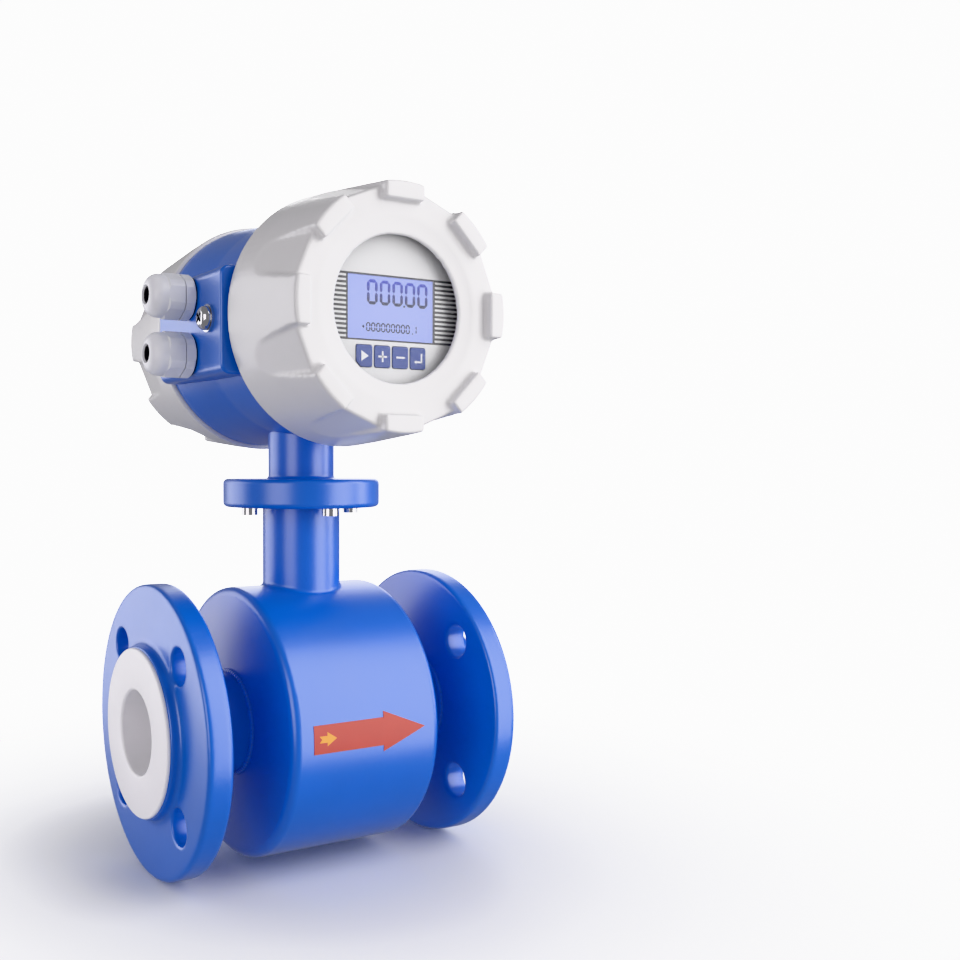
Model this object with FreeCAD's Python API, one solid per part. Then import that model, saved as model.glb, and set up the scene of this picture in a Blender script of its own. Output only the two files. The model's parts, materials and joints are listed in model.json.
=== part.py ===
"""Electromagnetic flow meter: a flanged, lined measuring tube with a round converter head on its neck.

Frame: origin at the centre of the flow bore, half-way between the two liner faces.
+X is the flow direction, +Z runs up the neck, and the display looks towards -Y.  Millimetres.
"""
import FreeCAD, Part
import math
import os

V = FreeCAD.Vector

# ---------------------------------------------------------------- driving dimensions
# general fits
FIT = 0.05                    # radial gap of pieces pressed or seated in one another
CUT_PAST = 1.0                # how far a cutter runs past the face it opens
THREAD_GAP = 0.35             # radial gap of a screwed cap over its thread
SEAL_GAP = 0.3                # axial gap between a seal and the face it closes on

# sensor: tube, liner and flanges, along X
METER_LENGTH = 192.4          # liner face to liner face
BORE_D = 43.0
LINER_WALL = 2.5
TUBE_WALL = 2.0
FLANGE_OD = 150.0
FLANGE_THICKNESS = 13.2
FLANGE_EDGE = 2.0             # rounding of the flange rim
BOLT_CIRCLE_D = 110.0
BOLT_HOLE_D = 18.0
BOLT_HOLE_COUNT = 4
BOLT_HOLE_EDGE = 0.8
RAISED_FACE_D = 88.0
RAISED_FACE_HEIGHT = 5.6
RAISED_FACE_FILLET = 2.5
FLARE_D = 86.0                # liner flare that covers the raised face
FLARE_THICKNESS = 1.6
FLARE_EDGE = 1.0
WELD_LEG = 2.0                # leg of the fillet welds

# sensor: casing drum and neck
DRUM_OD = 142.0
DRUM_LENGTH = 86.0
DRUM_WALL = 3.0
DRUM_END_WALL = 4.0
DRUM_EDGE = 4.5
SENSOR_NECK_OD = 42.0
SENSOR_NECK_WALL = 2.5
NECK_WELD_LEG = 2.5

# neck joint between sensor and converter
JOINT_BOTTOM_Z = 113.4        # underside of the neck flanges
JOINT_TOP_Z = 128.6           # top of the converter's neck flange
JOINT_OD = 85.0
JOINT_EDGE = 2.6
SENSOR_FLANGE_OD = 77.2       # sensor-side flange, let into the converter's
SENSOR_FLANGE_THICKNESS = 6.0
GASKET_THICKNESS = 1.0
GASKET_BORE_D = 40.0
NECK_SCREW_CIRCLE_D = 62.6
NECK_SCREW_COUNT = 4
NECK_SCREW_D = 5.0
NECK_SCREW_HEAD_D = 8.5
NECK_SCREW_HEAD_HEIGHT = 4.0
NECK_SCREW_SOCKET = 4.0       # across flats of the hexagon socket
NECK_SCREW_REACH = 10.5       # shank length above the head
SCREW_TIP_GAP = 1.0           # free depth under a screw's tip
CONVERTER_NECK_OD = 35.8
CONVERTER_NECK_BORE_D = 26.0
NECK_PLUG_Z = 131.0
NECK_PLUG_HEIGHT = 8.0
NECK_BORE_REACH = 4.0         # neck bore past the chamber's wall
SENSOR_FLANGE_GAP = 0.15      # round the sensor flange in its recess

# field coils and electrodes inside the drum
SHOE_GAP = 0.3
SHOE_THICKNESS = 2.7
SHOE_WIDTH = 44.0
SHOE_LENGTH = 46.0
CORE_D = 20.0
COIL_OD = 40.0
COIL_YOKE_GAP = 0.5           # between the coil's rim and the yoke
COIL_CLEARANCE = 1.5          # coil above the pole shoe
YOKE_BORE_D = 96.0
YOKE_THICKNESS = 3.0
YOKE_WIDTH = 40.0
ELECTRODE_D = 5.0
ELECTRODE_HEAD_D = 10.0
ELECTRODE_HEAD_THICKNESS = 1.5
ELECTRODE_REACH = 12.0        # shank beyond the tube's outer wall
ELECTRODE_SEAT_D = 18.0
ELECTRODE_SEAT_HEIGHT = 3.0   # boss on the tube, above its wall
BUSH_OUTER_D = 13.0
BUSH_THICKNESS = 2.0
ELECTRODE_CLEARANCE = 1.0     # round the shank in the tube wall
ELECTRODE_NUT_AF = 8.0
ELECTRODE_NUT_HEIGHT = 4.0

# converter head: its axis is parallel to Y, at HEAD_Z
HEAD_Z = 209.0
BODY_FRONT_Y = -40.6          # face that the front cover closes on
BODY_REAR_Y = 45.2            # face that the rear cover closes on
BODY_WAIST_R = 58.0
BODY_REAR_R = 61.6
BODY_FRONT_LIP_R = 60.4
BODY_LIP_LENGTH = 4.0
BODY_LIP_SLOPE = 2.0          # length of the step down to the waist
BODY_EDGE = 0.4
BODY_LIP_EDGE = 1.0
BODY_STEP_ROUND = 2.0
BODY_WAIST_ROUND = 40.0
BODY_REAR_ROUND = 10.0
SPIGOT_R = 56.0               # crest of the cover thread
SPIGOT_LENGTH = 12.5
CHAMBER_R = 49.0
PARTITION_Y = -14.0           # front face of the wall between the two chambers
PARTITION_THICKNESS = 4.0
WIRE_HOLE_D = 9.0
WIRE_HOLE_DROP = 30.0         # wire passage below the head's axis
GLAND_PAD_X = -65.5           # outer face of the saddle on the left side
GLAND_PAD_FRONT_Y = -38.6
GLAND_PAD_REAR_Y = 41.5
GLAND_PAD_HEIGHT = 53.0
GLAND_PAD_EDGE = 5.0
GLAND_PAD_END_EDGE = 1.5
MODULE_BOSS = 3.0             # bosses on the partition that carry the display module
MODULE_BOSS_D = 9.0
MODULE_SCREW_INSET = 9.0      # from the case's outer radius to its screws
MODULE_SCREW_D = 3.0
MODULE_SCREW_HEAD_D = 5.6
MODULE_SCREW_HEAD_HEIGHT = 2.2
MODULE_SCREW_REACH = 5.5
MODULE_SCREW_COUNT = 4

# screwed covers: lengths run outwards from the rim that meets the body
COVER_RIM_GAP = 0.3
COVER_RIM_R = 63.8
COVER_RIM_EDGE = 0.8
COVER_BAND_LENGTH = 19.0      # plain band behind the flutes
COVER_BAND_R = 62.4
COVER_LENGTH = 60.6           # rim to the front of the lugs
COVER_LUG_R = 58.6
LUG_COUNT = 8
LUG_HEIGHT = 5.1              # lugs above the ring face
LUG_INNER_R = 49.8
LUG_HALF_WIDTH = 11.0
RIB_ROOT_HALF_WIDTH = 16.6    # ribs widen towards the band
RING_APOTHEM = 55.6           # flat floor of a flute at the ring face
LUG_EDGE = 1.2
COVER_SHOULDER = 30.0         # rounding where the band turns into the flutes
COVER_THREAD_DEPTH = 14.0
COVER_CAVITY_R = 53.5
COVER_END_WALL = 6.5          # closed end of the rear cover, behind its ring face
BEVEL_R = 43.6
WINDOW_R = 34.7
BEVEL_DEPTH = 1.3
BEVEL_SAG = 0.325             # hollow of the bevel below a straight cone
WINDOW_LIP = 2.1
DISH_DEPTH = 1.3              # shallow dish in the rear cover
SEAL_SECTION_D = 2.0
SEAL_R = 58.5
SEAL_GROOVE_WIDTH = 2.8
SEAL_GROOVE_DEPTH = 2.4

# window in the front cover
WINDOW_SEAL_THICKNESS = 0.8
WINDOW_SEAL_WIDTH = 7.0
GLASS_R = 44.0
GLASS_THICKNESS = 3.0
RETAINER_STEP = 1.2           # retainer's outer radius over the glass
RETAINER_WIDTH = 4.7
RETAINER_THICKNESS = 3.5
RETAINER_NOTCH_D = 3.0
RETAINER_ROOM = 1.0           # end of the retainer's bore, behind the retainer

# display module
GLASS_TO_PLATE = 0.8
PLATE_R = 39.0
PLATE_THICKNESS = 2.0
PLATE_SKIRT = 2.0
PLATE_RIM = 2.0
PLATE_DEPTH = 5.5
CASE_R = 43.0
CASE_WALL = 2.0
SCREEN_WIDTH = 48.5
SCREEN_HEIGHT = 29.8
SCREEN_X = 0.4
SCREEN_RISE = 0.9             # centre of the screen above the head's axis
SCREEN_RECESS = 0.5
SCREEN_FRAME_WIDTH = 58.0
SCREEN_FRAME_HEIGHT = 36.0
SCREEN_FRAME_RISE = 2.2
SCREEN_FIT = 0.2
SCREEN_DEPTH = 6.1            # back of the faceplate's face to the display board
KEY_COUNT = 4
KEY_PITCH = 10.15
KEY_X = 0.2
KEY_WIDTH = 8.7
KEY_HEIGHT = 10.2
KEY_DROP = 22.0               # centre of the keys below the head's axis
KEY_CORNER = 1.2
KEY_CHAMFER = 2.6             # cut corner of the first key
KEY_FIT = 0.3
KEY_PROUD = 0.5
KEY_DEPTH = 3.9
KEY_TRAVEL = 0.5
SWITCH_WIDTH = 6.0
SWITCH_HEIGHT = 3.0
PLUNGER_D = 3.4
PLUNGER_GAP = 0.1             # between a fully pressed key and its plunger
BOARD_THICKNESS = 1.6
MAIN_BOARD_GAP = 1.5          # between the main board and the case wall
MAIN_BOARD_HEIGHT = 24.0      # main board above the floor of the case
SPACER_D = 6.0
SPACER_INSET = 5.5            # from the main board's edge to the spacers
SPACER_COUNT = 4
DISPLAY_BOARD_MARGIN = 2.5    # display board past the circle of the spacers
POWER_BLOCK_WIDTH = 30.0
POWER_BLOCK_DEPTH = 14.0
POWER_BLOCK_HEIGHT = 22.0
POWER_BLOCK_X = -8.0
POWER_BLOCK_RISE = 8.0
PROCESSOR_WIDTH = 16.0
PROCESSOR_DEPTH = 2.0
PROCESSOR_X = 12.0
PROCESSOR_RISE = -14.0

# terminal compartment
TERMINAL_BOARD_WIDTH = 72.0
TERMINAL_BOARD_HEIGHT = 46.0
TERMINAL_SPACER_LENGTH = 5.0
TERMINAL_SPACER_D = 6.0
TERMINAL_INSET = 4.5
BLOCK_WIDTH = 58.0
BLOCK_HEIGHT = 11.0
BLOCK_DEPTH = 13.0
BLOCK_OFFSET = 10.0
BLOCK_WAYS = 7
BLOCK_SCREW_D = 4.6
BLOCK_SCREW_DEPTH = 5.0
BLOCK_ENTRY_WIDTH = 4.4
BLOCK_ENTRY_FLOOR = 2.0
BLOCK_SCREW_SUNK = 1.0
BLOCK_SLOT_SPAN = 6.0
BLOCK_SLOT_WIDTH = 0.8
BLOCK_SLOT_DEPTH = 0.8

# cable glands, along -X
GLAND_SPACING = 29.3
GLAND_MID_DROP = 2.15         # mid-point of the glands below the head's axis
GLAND_AF = 22.0
GLAND_TURNED_D = 23.4         # corners of the hexagons turned off to this
GLAND_WASHER_THICKNESS = 0.8
GLAND_HEX_LENGTH = 5.2
GLAND_NUT_GAP = 0.5
GLAND_NUT_LENGTH = 17.3
GLAND_NUT_HEX_LENGTH = 9.5
GLAND_DOME_R = 6.2
GLAND_THREAD_D = 18.4
GLAND_NECK_RELIEF = 0.2       # the nut's thread is this much smaller in radius
GLAND_HEX_CHAMFER = 0.6
GLAND_NUT_CHAMFER = 1.6
GLAND_NUT_EDGE = 0.6
GLAND_ROOF = 3.41             # wall over the seal at the nut's nose
GLAND_WASHER_INSET = 0.3
GLAND_HOLE_END_X = -39.0      # inner end of the cable holes in the rear chamber
GLAND_BORE_D = 12.6
GLAND_NECK_LENGTH = 9.5       # outer thread that the dome nut runs on
GLAND_SHANK_LENGTH = 14.0
GLAND_CABLE_D = 8.7
GLAND_SEAL_WALL = 1.6
GLAND_SEAL_LENGTH = 8.0
GLAND_MOUTH_CHAMFER = 1.2

# earth screw on the gland saddle
EARTH_Y = -24.5
EARTH_DROP = 0.5
EARTH_D = 6.0
EARTH_HEAD_D = 12.0
EARTH_HEAD_HEIGHT = 4.2
EARTH_REACH = 12.0
EARTH_WASHER_D = 13.8
EARTH_WASHER_THICKNESS = 1.4
EARTH_CROSS_WIDTH = 1.5
EARTH_CROSS_SPAN = 6.4
EARTH_CROSS_DEPTH = 2.2
EARTH_HEAD_EDGE = 0.5
EARTH_HEAD_DOME = 3.36
EARTH_HOLE_ROOM = 1.0

# flow arrow on the drum's front
ARROW_ANGLE = 2.5             # degrees above the horizontal
ARROW_TAIL_X = -32.0
ARROW_HEAD_X = 8.1
ARROW_TIP_X = 32.8
ARROW_TAIL_HALF = 7.0
ARROW_HEAD_HALF = 10.1
ARROW_THICKNESS = 0.2
ARROW_GAP = 0.02

# ---------------------------------------------------------------- derived sizes
BORE_R = BORE_D / 2
LINER_R = BORE_R + LINER_WALL
TUBE_BORE_R = LINER_R + FIT
TUBE_R = TUBE_BORE_R + TUBE_WALL
LINER_END = METER_LENGTH / 2
RAISED_END = LINER_END - FLARE_THICKNESS
FLANGE_FACE = RAISED_END - RAISED_FACE_HEIGHT
FLANGE_BACK = FLANGE_FACE - FLANGE_THICKNESS
DRUM_R = DRUM_OD / 2
DRUM_END = DRUM_LENGTH / 2
SENSOR_NECK_R = SENSOR_NECK_OD / 2
SENSOR_FLANGE_TOP_Z = JOINT_BOTTOM_Z + SENSOR_FLANGE_THICKNESS
GASKET_TOP_Z = SENSOR_FLANGE_TOP_Z + GASKET_THICKNESS
SHOE_INNER_R = TUBE_R + SHOE_GAP
SHOE_OUTER_R = SHOE_INNER_R + SHOE_THICKNESS
YOKE_R = YOKE_BORE_D / 2
COIL_R = COIL_OD / 2
COIL_TOP = math.sqrt((YOKE_R - COIL_YOKE_GAP) ** 2 - COIL_R ** 2)
SEAT_Y = TUBE_R + ELECTRODE_SEAT_HEIGHT
PARTITION_REAR_Y = PARTITION_Y + PARTITION_THICKNESS
FRONT_RIM_Y = BODY_FRONT_Y - COVER_RIM_GAP
REAR_RIM_Y = BODY_REAR_Y + COVER_RIM_GAP
RING_FACE = COVER_LENGTH - LUG_HEIGHT
WINDOW_EDGE = RING_FACE - BEVEL_DEPTH
WINDOW_SEAT = WINDOW_EDGE - WINDOW_LIP
GLASS_FRONT = WINDOW_SEAT - WINDOW_SEAL_THICKNESS
GLASS_BACK = GLASS_FRONT - GLASS_THICKNESS
RETAINER_OUTER_R = GLASS_R + RETAINER_STEP
RETAINER_INNER_R = RETAINER_OUTER_R - RETAINER_WIDTH
RETAINER_BACK = GLASS_BACK - RETAINER_THICKNESS
WEB_BACK = RETAINER_BACK - RETAINER_ROOM
PLATE_FRONT_Y = FRONT_RIM_Y - GLASS_BACK + GLASS_TO_PLATE
PLATE_BACK_Y = PLATE_FRONT_Y + PLATE_DEPTH
CASE_FLOOR_Y = PARTITION_Y - MODULE_BOSS
CASE_FLOOR_FRONT_Y = CASE_FLOOR_Y - CASE_WALL
SCREEN_BACK_Y = PLATE_FRONT_Y + PLATE_THICKNESS + FIT
DISPLAY_BOARD_Y = SCREEN_BACK_Y + SCREEN_DEPTH
MAIN_BOARD_R = CASE_R - CASE_WALL - MAIN_BOARD_GAP
SPACER_CIRCLE_R = MAIN_BOARD_R - SPACER_INSET
DISPLAY_BOARD_R = SPACER_CIRCLE_R + DISPLAY_BOARD_MARGIN
MODULE_SCREW_CIRCLE_R = CASE_R - MODULE_SCREW_INSET
MAIN_BOARD_Y = CASE_FLOOR_FRONT_Y - MAIN_BOARD_HEIGHT
KEY_FRONT_Y = PLATE_FRONT_Y - KEY_PROUD
KEY_BACK_Y = KEY_FRONT_Y + KEY_DEPTH
TERMINAL_BOARD_Y = PARTITION_REAR_Y + TERMINAL_SPACER_LENGTH
BLOCK_BASE_Y = TERMINAL_BOARD_Y + BOARD_THICKNESS
GLAND_MID_Z = HEAD_Z - GLAND_MID_DROP
GLAND_BASE_X = GLAND_PAD_X - GLAND_WASHER_THICKNESS
GLAND_HEX_X = GLAND_BASE_X - GLAND_HEX_LENGTH
GLAND_NUT_X = GLAND_HEX_X - GLAND_NUT_GAP
GLAND_TIP_X = GLAND_NUT_X - GLAND_NUT_LENGTH
GLAND_THREAD_R = GLAND_THREAD_D / 2
GLAND_Z = {"upper": GLAND_MID_Z + GLAND_SPACING / 2, "lower": GLAND_MID_Z - GLAND_SPACING / 2}
HEAD_CENTRE = V(0, 0, HEAD_Z)
FORWARD = V(0, -1, 0)
BACKWARD = V(0, 1, 0)
LEFT = V(-1, 0, 0)
RIGHT = V(1, 0, 0)
UP = V(0, 0, 1)


# ---------------------------------------------------------------- shape helpers
def rounded_wire(corners):
    """Closed wire in the XZ plane from (along, radius, rounding) corners, as x = radius, z = along."""
    count = len(corners)
    points = [V(radius, 0, along) for along, radius, rounding in corners]
    ends = []
    arcs = {}
    for i, here in enumerate(points):
        rounding = corners[i][2]
        if rounding == 0:
            ends.append((here, here))
            continue
        back = points[i - 1] - here
        ahead = points[(i + 1) % count] - here
        back.normalize()
        ahead.normalize()
        half = back.getAngle(ahead) / 2
        bisector = back + ahead
        bisector.normalize()
        enter = here + back * (rounding / math.tan(half))
        leave = here + ahead * (rounding / math.tan(half))
        middle = here + bisector * (rounding / math.sin(half) - rounding)
        ends.append((enter, leave))
        arcs[i] = Part.Arc(enter, middle, leave).toShape()
    path = []
    for i in range(count):
        if i in arcs:
            path.append(arcs[i])
        path.append(Part.LineSegment(ends[i][1], ends[(i + 1) % count][0]).toShape())
    return Part.Wire(path)


def placed(shape, base, direction):
    """Move a shape built along +Z so that it stands on base and points along direction."""
    placement = FreeCAD.Placement(base, FreeCAD.Rotation(UP, direction))
    return shape.transformed(placement.toMatrix(), True)


def turned(corners, base=V(0, 0, 0), direction=UP):
    """Solid of revolution from (along, radius, rounding) corners."""
    face = Part.Face(rounded_wire(corners))
    return placed(face.revolve(V(0, 0, 0), UP, 360), base, direction)


def rod(radius, start, end):
    """Cylinder from start to end."""
    span = end - start
    return Part.makeCylinder(radius, span.Length, start, span)


def ring(outer_r, inner_r, start, end):
    """Tube from start to end."""
    return rod(outer_r, start, end).cut(rod(inner_r, start, end))


def block(low, high):
    """Box between two corners."""
    size = high - low
    return Part.makeBox(size.x, size.y, size.z, low)


def hexagon(across_flats, start, end):
    """Hexagonal bar from start to end, with two of its flats facing the first sideways direction."""
    span = end - start
    corners = around(6, across_flats / math.sqrt(3), 0, UP)
    corners.append(corners[0])
    bar = Part.Face(Part.makePolygon(corners)).extrude(V(0, 0, span.Length))
    return placed(bar, start, span)


def fused(shapes):
    """One solid from shapes that meet."""
    return shapes[0].multiFuse(shapes[1:]).removeSplitter()


def around(count, radius, first_angle, direction):
    """Offsets of count points on a circle of the given radius, square to direction."""
    turn = FreeCAD.Rotation(UP, direction)
    offsets = []
    for i in range(count):
        angle = math.radians(first_angle + 360 * i / count)
        offsets.append(turn.multVec(V(radius * math.cos(angle), radius * math.sin(angle), 0)))
    return offsets


def head(x, y, rise):
    """Point given by its place across the head, its depth and its height above the head's axis."""
    return V(x, y, HEAD_Z + rise)


def edges_of(shape, radius, point, direction):
    """Circular edges of the given radius, centred on a line and square to it."""
    found = []
    for edge in shape.Edges:
        curve = edge.Curve
        if not isinstance(curve, Part.Circle):
            continue
        offset = curve.Center - point
        off_line = offset - direction * offset.dot(direction)
        if abs(curve.Radius - radius) < 1e-4 and off_line.Length < 1e-4:
            found.append(edge)
    return found


# ---------------------------------------------------------------- sensor
def flange(side):
    """Round pipe flange with a raised face; side is +1 for the outlet and -1 for the inlet."""
    disc = turned([
        (FLANGE_BACK, TUBE_R + FIT, 0),
        (FLANGE_BACK, FLANGE_OD / 2, FLANGE_EDGE),
        (FLANGE_FACE, FLANGE_OD / 2, FLANGE_EDGE),
        (FLANGE_FACE, RAISED_FACE_D / 2, RAISED_FACE_FILLET),
        (RAISED_END, RAISED_FACE_D / 2, FLARE_EDGE),
        (RAISED_END, TUBE_R + FIT, 0),
    ], direction=RIGHT * side)
    for offset in around(BOLT_HOLE_COUNT, BOLT_CIRCLE_D / 2, 180 / BOLT_HOLE_COUNT, RIGHT * side):
        start = offset + RIGHT * (side * (FLANGE_BACK - CUT_PAST))
        end = offset + RIGHT * (side * (FLANGE_FACE + CUT_PAST))
        disc = disc.cut(rod(BOLT_HOLE_D / 2, start, end))
        disc = disc.makeFillet(BOLT_HOLE_EDGE, edges_of(disc, BOLT_HOLE_D / 2, offset, RIGHT))
    return disc


def electrode_hole_tool(radius, start_y, end_y):
    """Drill through the tube's front and rear at the electrodes."""
    front = rod(radius, V(0, -start_y, 0), V(0, -end_y, 0))
    rear = rod(radius, V(0, start_y, 0), V(0, end_y, 0))
    return front.fuse(rear)


def measuring_tube():
    """Stainless tube with a flat seat for each electrode."""
    body = rod(TUBE_R, V(-RAISED_END, 0, 0), V(RAISED_END, 0, 0))
    seats = rod(ELECTRODE_SEAT_D / 2, V(0, -SEAT_Y, 0), V(0, SEAT_Y, 0))
    body = body.fuse(seats)
    body = body.cut(rod(TUBE_BORE_R, V(-LINER_END, 0, 0), V(LINER_END, 0, 0)))
    return body.cut(electrode_hole_tool(ELECTRODE_D / 2 + ELECTRODE_CLEARANCE, 0, SEAT_Y + CUT_PAST))


def liner():
    """Fluoropolymer sleeve in the tube, between the two flares."""
    sleeve = ring(LINER_R, BORE_R, V(-RAISED_END, 0, 0), V(RAISED_END, 0, 0))
    recess = electrode_hole_tool(ELECTRODE_HEAD_D / 2 + FIT, 0, BORE_R + ELECTRODE_HEAD_THICKNESS + FIT)
    shank = electrode_hole_tool(ELECTRODE_D / 2 + FIT, 0, LINER_R + CUT_PAST)
    return sleeve.cut(recess).cut(shank)


def liner_face(side):
    """Flare of the lining over a raised face; side is +1 for the outlet and -1 for the inlet."""
    return turned([
        (RAISED_END, BORE_R, 0),
        (RAISED_END, FLARE_D / 2, 0),
        (LINER_END, FLARE_D / 2, FLARE_EDGE),
        (LINER_END, BORE_R, 0),
    ], direction=RIGHT * side)


def electrode(side):
    """Measuring electrode with its head flush with the bore; side is -1 for front, +1 for rear."""
    aim = V(0, side, 0)
    shape = rod(ELECTRODE_HEAD_D / 2, V(0, 0, 0), aim * (BORE_R + ELECTRODE_HEAD_THICKNESS))
    shape = shape.fuse(rod(ELECTRODE_D / 2, V(0, 0, 0), aim * (TUBE_R + ELECTRODE_REACH)))
    return shape.cut(rod(BORE_R, V(-LINER_END, 0, 0), V(LINER_END, 0, 0)))


def electrode_bushes():
    """Insulating collars between the tube's seats and the electrode nuts."""
    pieces = []
    for side in (-1, 1):
        start = V(0, side * SEAT_Y, 0)
        end = V(0, side * (SEAT_Y + BUSH_THICKNESS), 0)
        pieces.append(ring(BUSH_OUTER_D / 2, ELECTRODE_D / 2 + FIT, start, end))
    return Part.makeCompound(pieces)


def electrode_nuts():
    """Hexagon nuts that draw the electrodes outwards."""
    pieces = []
    for side in (-1, 1):
        start = V(0, side * (SEAT_Y + BUSH_THICKNESS), 0)
        end = V(0, side * (SEAT_Y + BUSH_THICKNESS + ELECTRODE_NUT_HEIGHT), 0)
        nut = hexagon(ELECTRODE_NUT_AF, start, end)
        pieces.append(nut.cut(rod(ELECTRODE_D / 2 + FIT, start, end)))
    return Part.makeCompound(pieces)


def pole(side):
    """Iron core with a saddle shoe over the tube; side is +1 for the upper and -1 for the lower."""
    half = SHOE_LENGTH / 2
    shoe = ring(SHOE_OUTER_R, SHOE_INNER_R, V(-half, 0, 0), V(half, 0, 0))
    band = block(V(-half, -SHOE_WIDTH / 2, 0), V(half, SHOE_WIDTH / 2, SHOE_OUTER_R))
    core = rod(CORE_D / 2, V(0, 0, 0), V(0, 0, YOKE_R))
    core = core.common(ring(YOKE_R - FIT, SHOE_INNER_R, V(-half, 0, 0), V(half, 0, 0)))
    shape = fused([shoe.common(band), core])
    if side < 0:
        shape = shape.mirror(V(0, 0, 0), UP)
    return shape


def coil(side):
    """Round field coil on its core."""
    start = V(0, 0, side * (SHOE_OUTER_R + COIL_CLEARANCE))
    end = V(0, 0, side * COIL_TOP)
    return ring(COIL_R, CORE_D / 2 + FIT, start, end)


def yoke_ring():
    """Steel band that closes the magnetic circuit round both cores."""
    half = YOKE_WIDTH / 2
    return ring(YOKE_R + YOKE_THICKNESS, YOKE_R, V(-half, 0, 0), V(half, 0, 0))


def drum_blank():
    """Outside of the drum, solid."""
    return turned([
        (-DRUM_END, 0, 0),
        (-DRUM_END, DRUM_R, DRUM_EDGE),
        (DRUM_END, DRUM_R, DRUM_EDGE),
        (DRUM_END, 0, 0),
    ], direction=RIGHT)


def neck_bore():
    """Wire passage from the drum up through the sensor's neck and flange."""
    return rod(SENSOR_NECK_R - SENSOR_NECK_WALL, V(0, 0, 0), V(0, 0, SENSOR_FLANGE_TOP_Z + CUT_PAST))


def sensor_casing():
    """Welded drum round the coils."""
    inner_end = DRUM_END - DRUM_END_WALL
    hollow = rod(DRUM_R - DRUM_WALL, V(-inner_end, 0, 0), V(inner_end, 0, 0))
    passage = rod(TUBE_R + FIT, V(-DRUM_LENGTH, 0, 0), V(DRUM_LENGTH, 0, 0))
    return drum_blank().cut(fused([hollow, neck_bore()])).cut(passage)


def sensor_neck():
    """Neck tube with its weld to the drum."""
    neck = rod(SENSOR_NECK_R, V(0, 0, 0), V(0, 0, JOINT_BOTTOM_Z))
    outside = fused([drum_blank(), neck])
    outside = outside.makeFillet(NECK_WELD_LEG, neck_seam(outside))
    return outside.cut(drum_blank()).cut(neck_bore())


def sensor_flange():
    """Sensor-side neck flange, screwed up into the converter's."""
    plate = rod(SENSOR_FLANGE_OD / 2, V(0, 0, JOINT_BOTTOM_Z), V(0, 0, SENSOR_FLANGE_TOP_Z))
    plate = plate.cut(neck_bore())
    for offset in around(NECK_SCREW_COUNT, NECK_SCREW_CIRCLE_D / 2, 0, UP):
        start = offset + UP * (JOINT_BOTTOM_Z - CUT_PAST)
        end = offset + UP * (SENSOR_FLANGE_TOP_Z + CUT_PAST)
        plate = plate.cut(rod(NECK_SCREW_D / 2 + FIT, start, end))
    return plate


def neck_seam(shape):
    """Seam where the upright neck meets the lying drum."""
    found = []
    for edge in shape.Edges:
        box = edge.BoundBox
        widest = max(abs(box.XMin), abs(box.XMax), abs(box.YMin), abs(box.YMax))
        between = DRUM_R / 2 < box.ZMin and box.ZMax < DRUM_R + FIT
        if between and SENSOR_NECK_R < box.XLength and widest < SENSOR_NECK_R + FIT:
            found.append(edge)
    return found


def flow_arrow():
    """Thin arrow label wrapped on the drum's front."""
    inner_r = DRUM_R + ARROW_GAP
    skin = ring(inner_r + ARROW_THICKNESS, inner_r, V(-DRUM_END, 0, 0), V(DRUM_END, 0, 0))
    outline = [
        (ARROW_TAIL_X, -ARROW_TAIL_HALF),
        (ARROW_HEAD_X, -ARROW_TAIL_HALF),
        (ARROW_HEAD_X, -ARROW_HEAD_HALF),
        (ARROW_TIP_X, 0),
        (ARROW_HEAD_X, ARROW_HEAD_HALF),
        (ARROW_HEAD_X, ARROW_TAIL_HALF),
        (ARROW_TAIL_X, ARROW_TAIL_HALF),
        (ARROW_TAIL_X, -ARROW_TAIL_HALF),
    ]
    points = [V(x, 0, z) for x, z in outline]
    stamp = Part.Face(Part.makePolygon(points)).extrude(V(0, -DRUM_OD, 0))
    label = skin.common(stamp)
    label.rotate(V(0, 0, 0), V(1, 0, 0), -ARROW_ANGLE)
    return label


# ---------------------------------------------------------------- neck joint
def neck_gasket():
    """Flat gasket between the two neck flanges."""
    start = V(0, 0, SENSOR_FLANGE_TOP_Z)
    end = V(0, 0, GASKET_TOP_Z)
    sheet = ring(SENSOR_FLANGE_OD / 2, GASKET_BORE_D / 2, start, end)
    for offset in around(NECK_SCREW_COUNT, NECK_SCREW_CIRCLE_D / 2, 0, UP):
        sheet = sheet.cut(rod(NECK_SCREW_D / 2 + FIT, offset + start, offset + end))
    return sheet


def neck_screws():
    """Socket head screws, put in from below."""
    pieces = []
    for offset in around(NECK_SCREW_COUNT, NECK_SCREW_CIRCLE_D / 2, 0, UP):
        seat = offset + UP * JOINT_BOTTOM_Z
        head_end = seat - UP * NECK_SCREW_HEAD_HEIGHT
        screw = rod(NECK_SCREW_HEAD_D / 2, head_end, seat)
        screw = screw.fuse(rod(NECK_SCREW_D / 2, seat, seat + UP * NECK_SCREW_REACH))
        socket_end = head_end + UP * (NECK_SCREW_HEAD_HEIGHT / 2)
        socket = hexagon(NECK_SCREW_SOCKET, head_end - UP * CUT_PAST, socket_end)
        pieces.append(screw.cut(socket))
    return Part.makeCompound(pieces)


def neck_plug():
    """Potted plug that seals the wires in the converter's neck."""
    top = V(0, 0, NECK_PLUG_Z + NECK_PLUG_HEIGHT)
    return rod(CONVERTER_NECK_BORE_D / 2 - FIT, V(0, 0, NECK_PLUG_Z), top)


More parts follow.
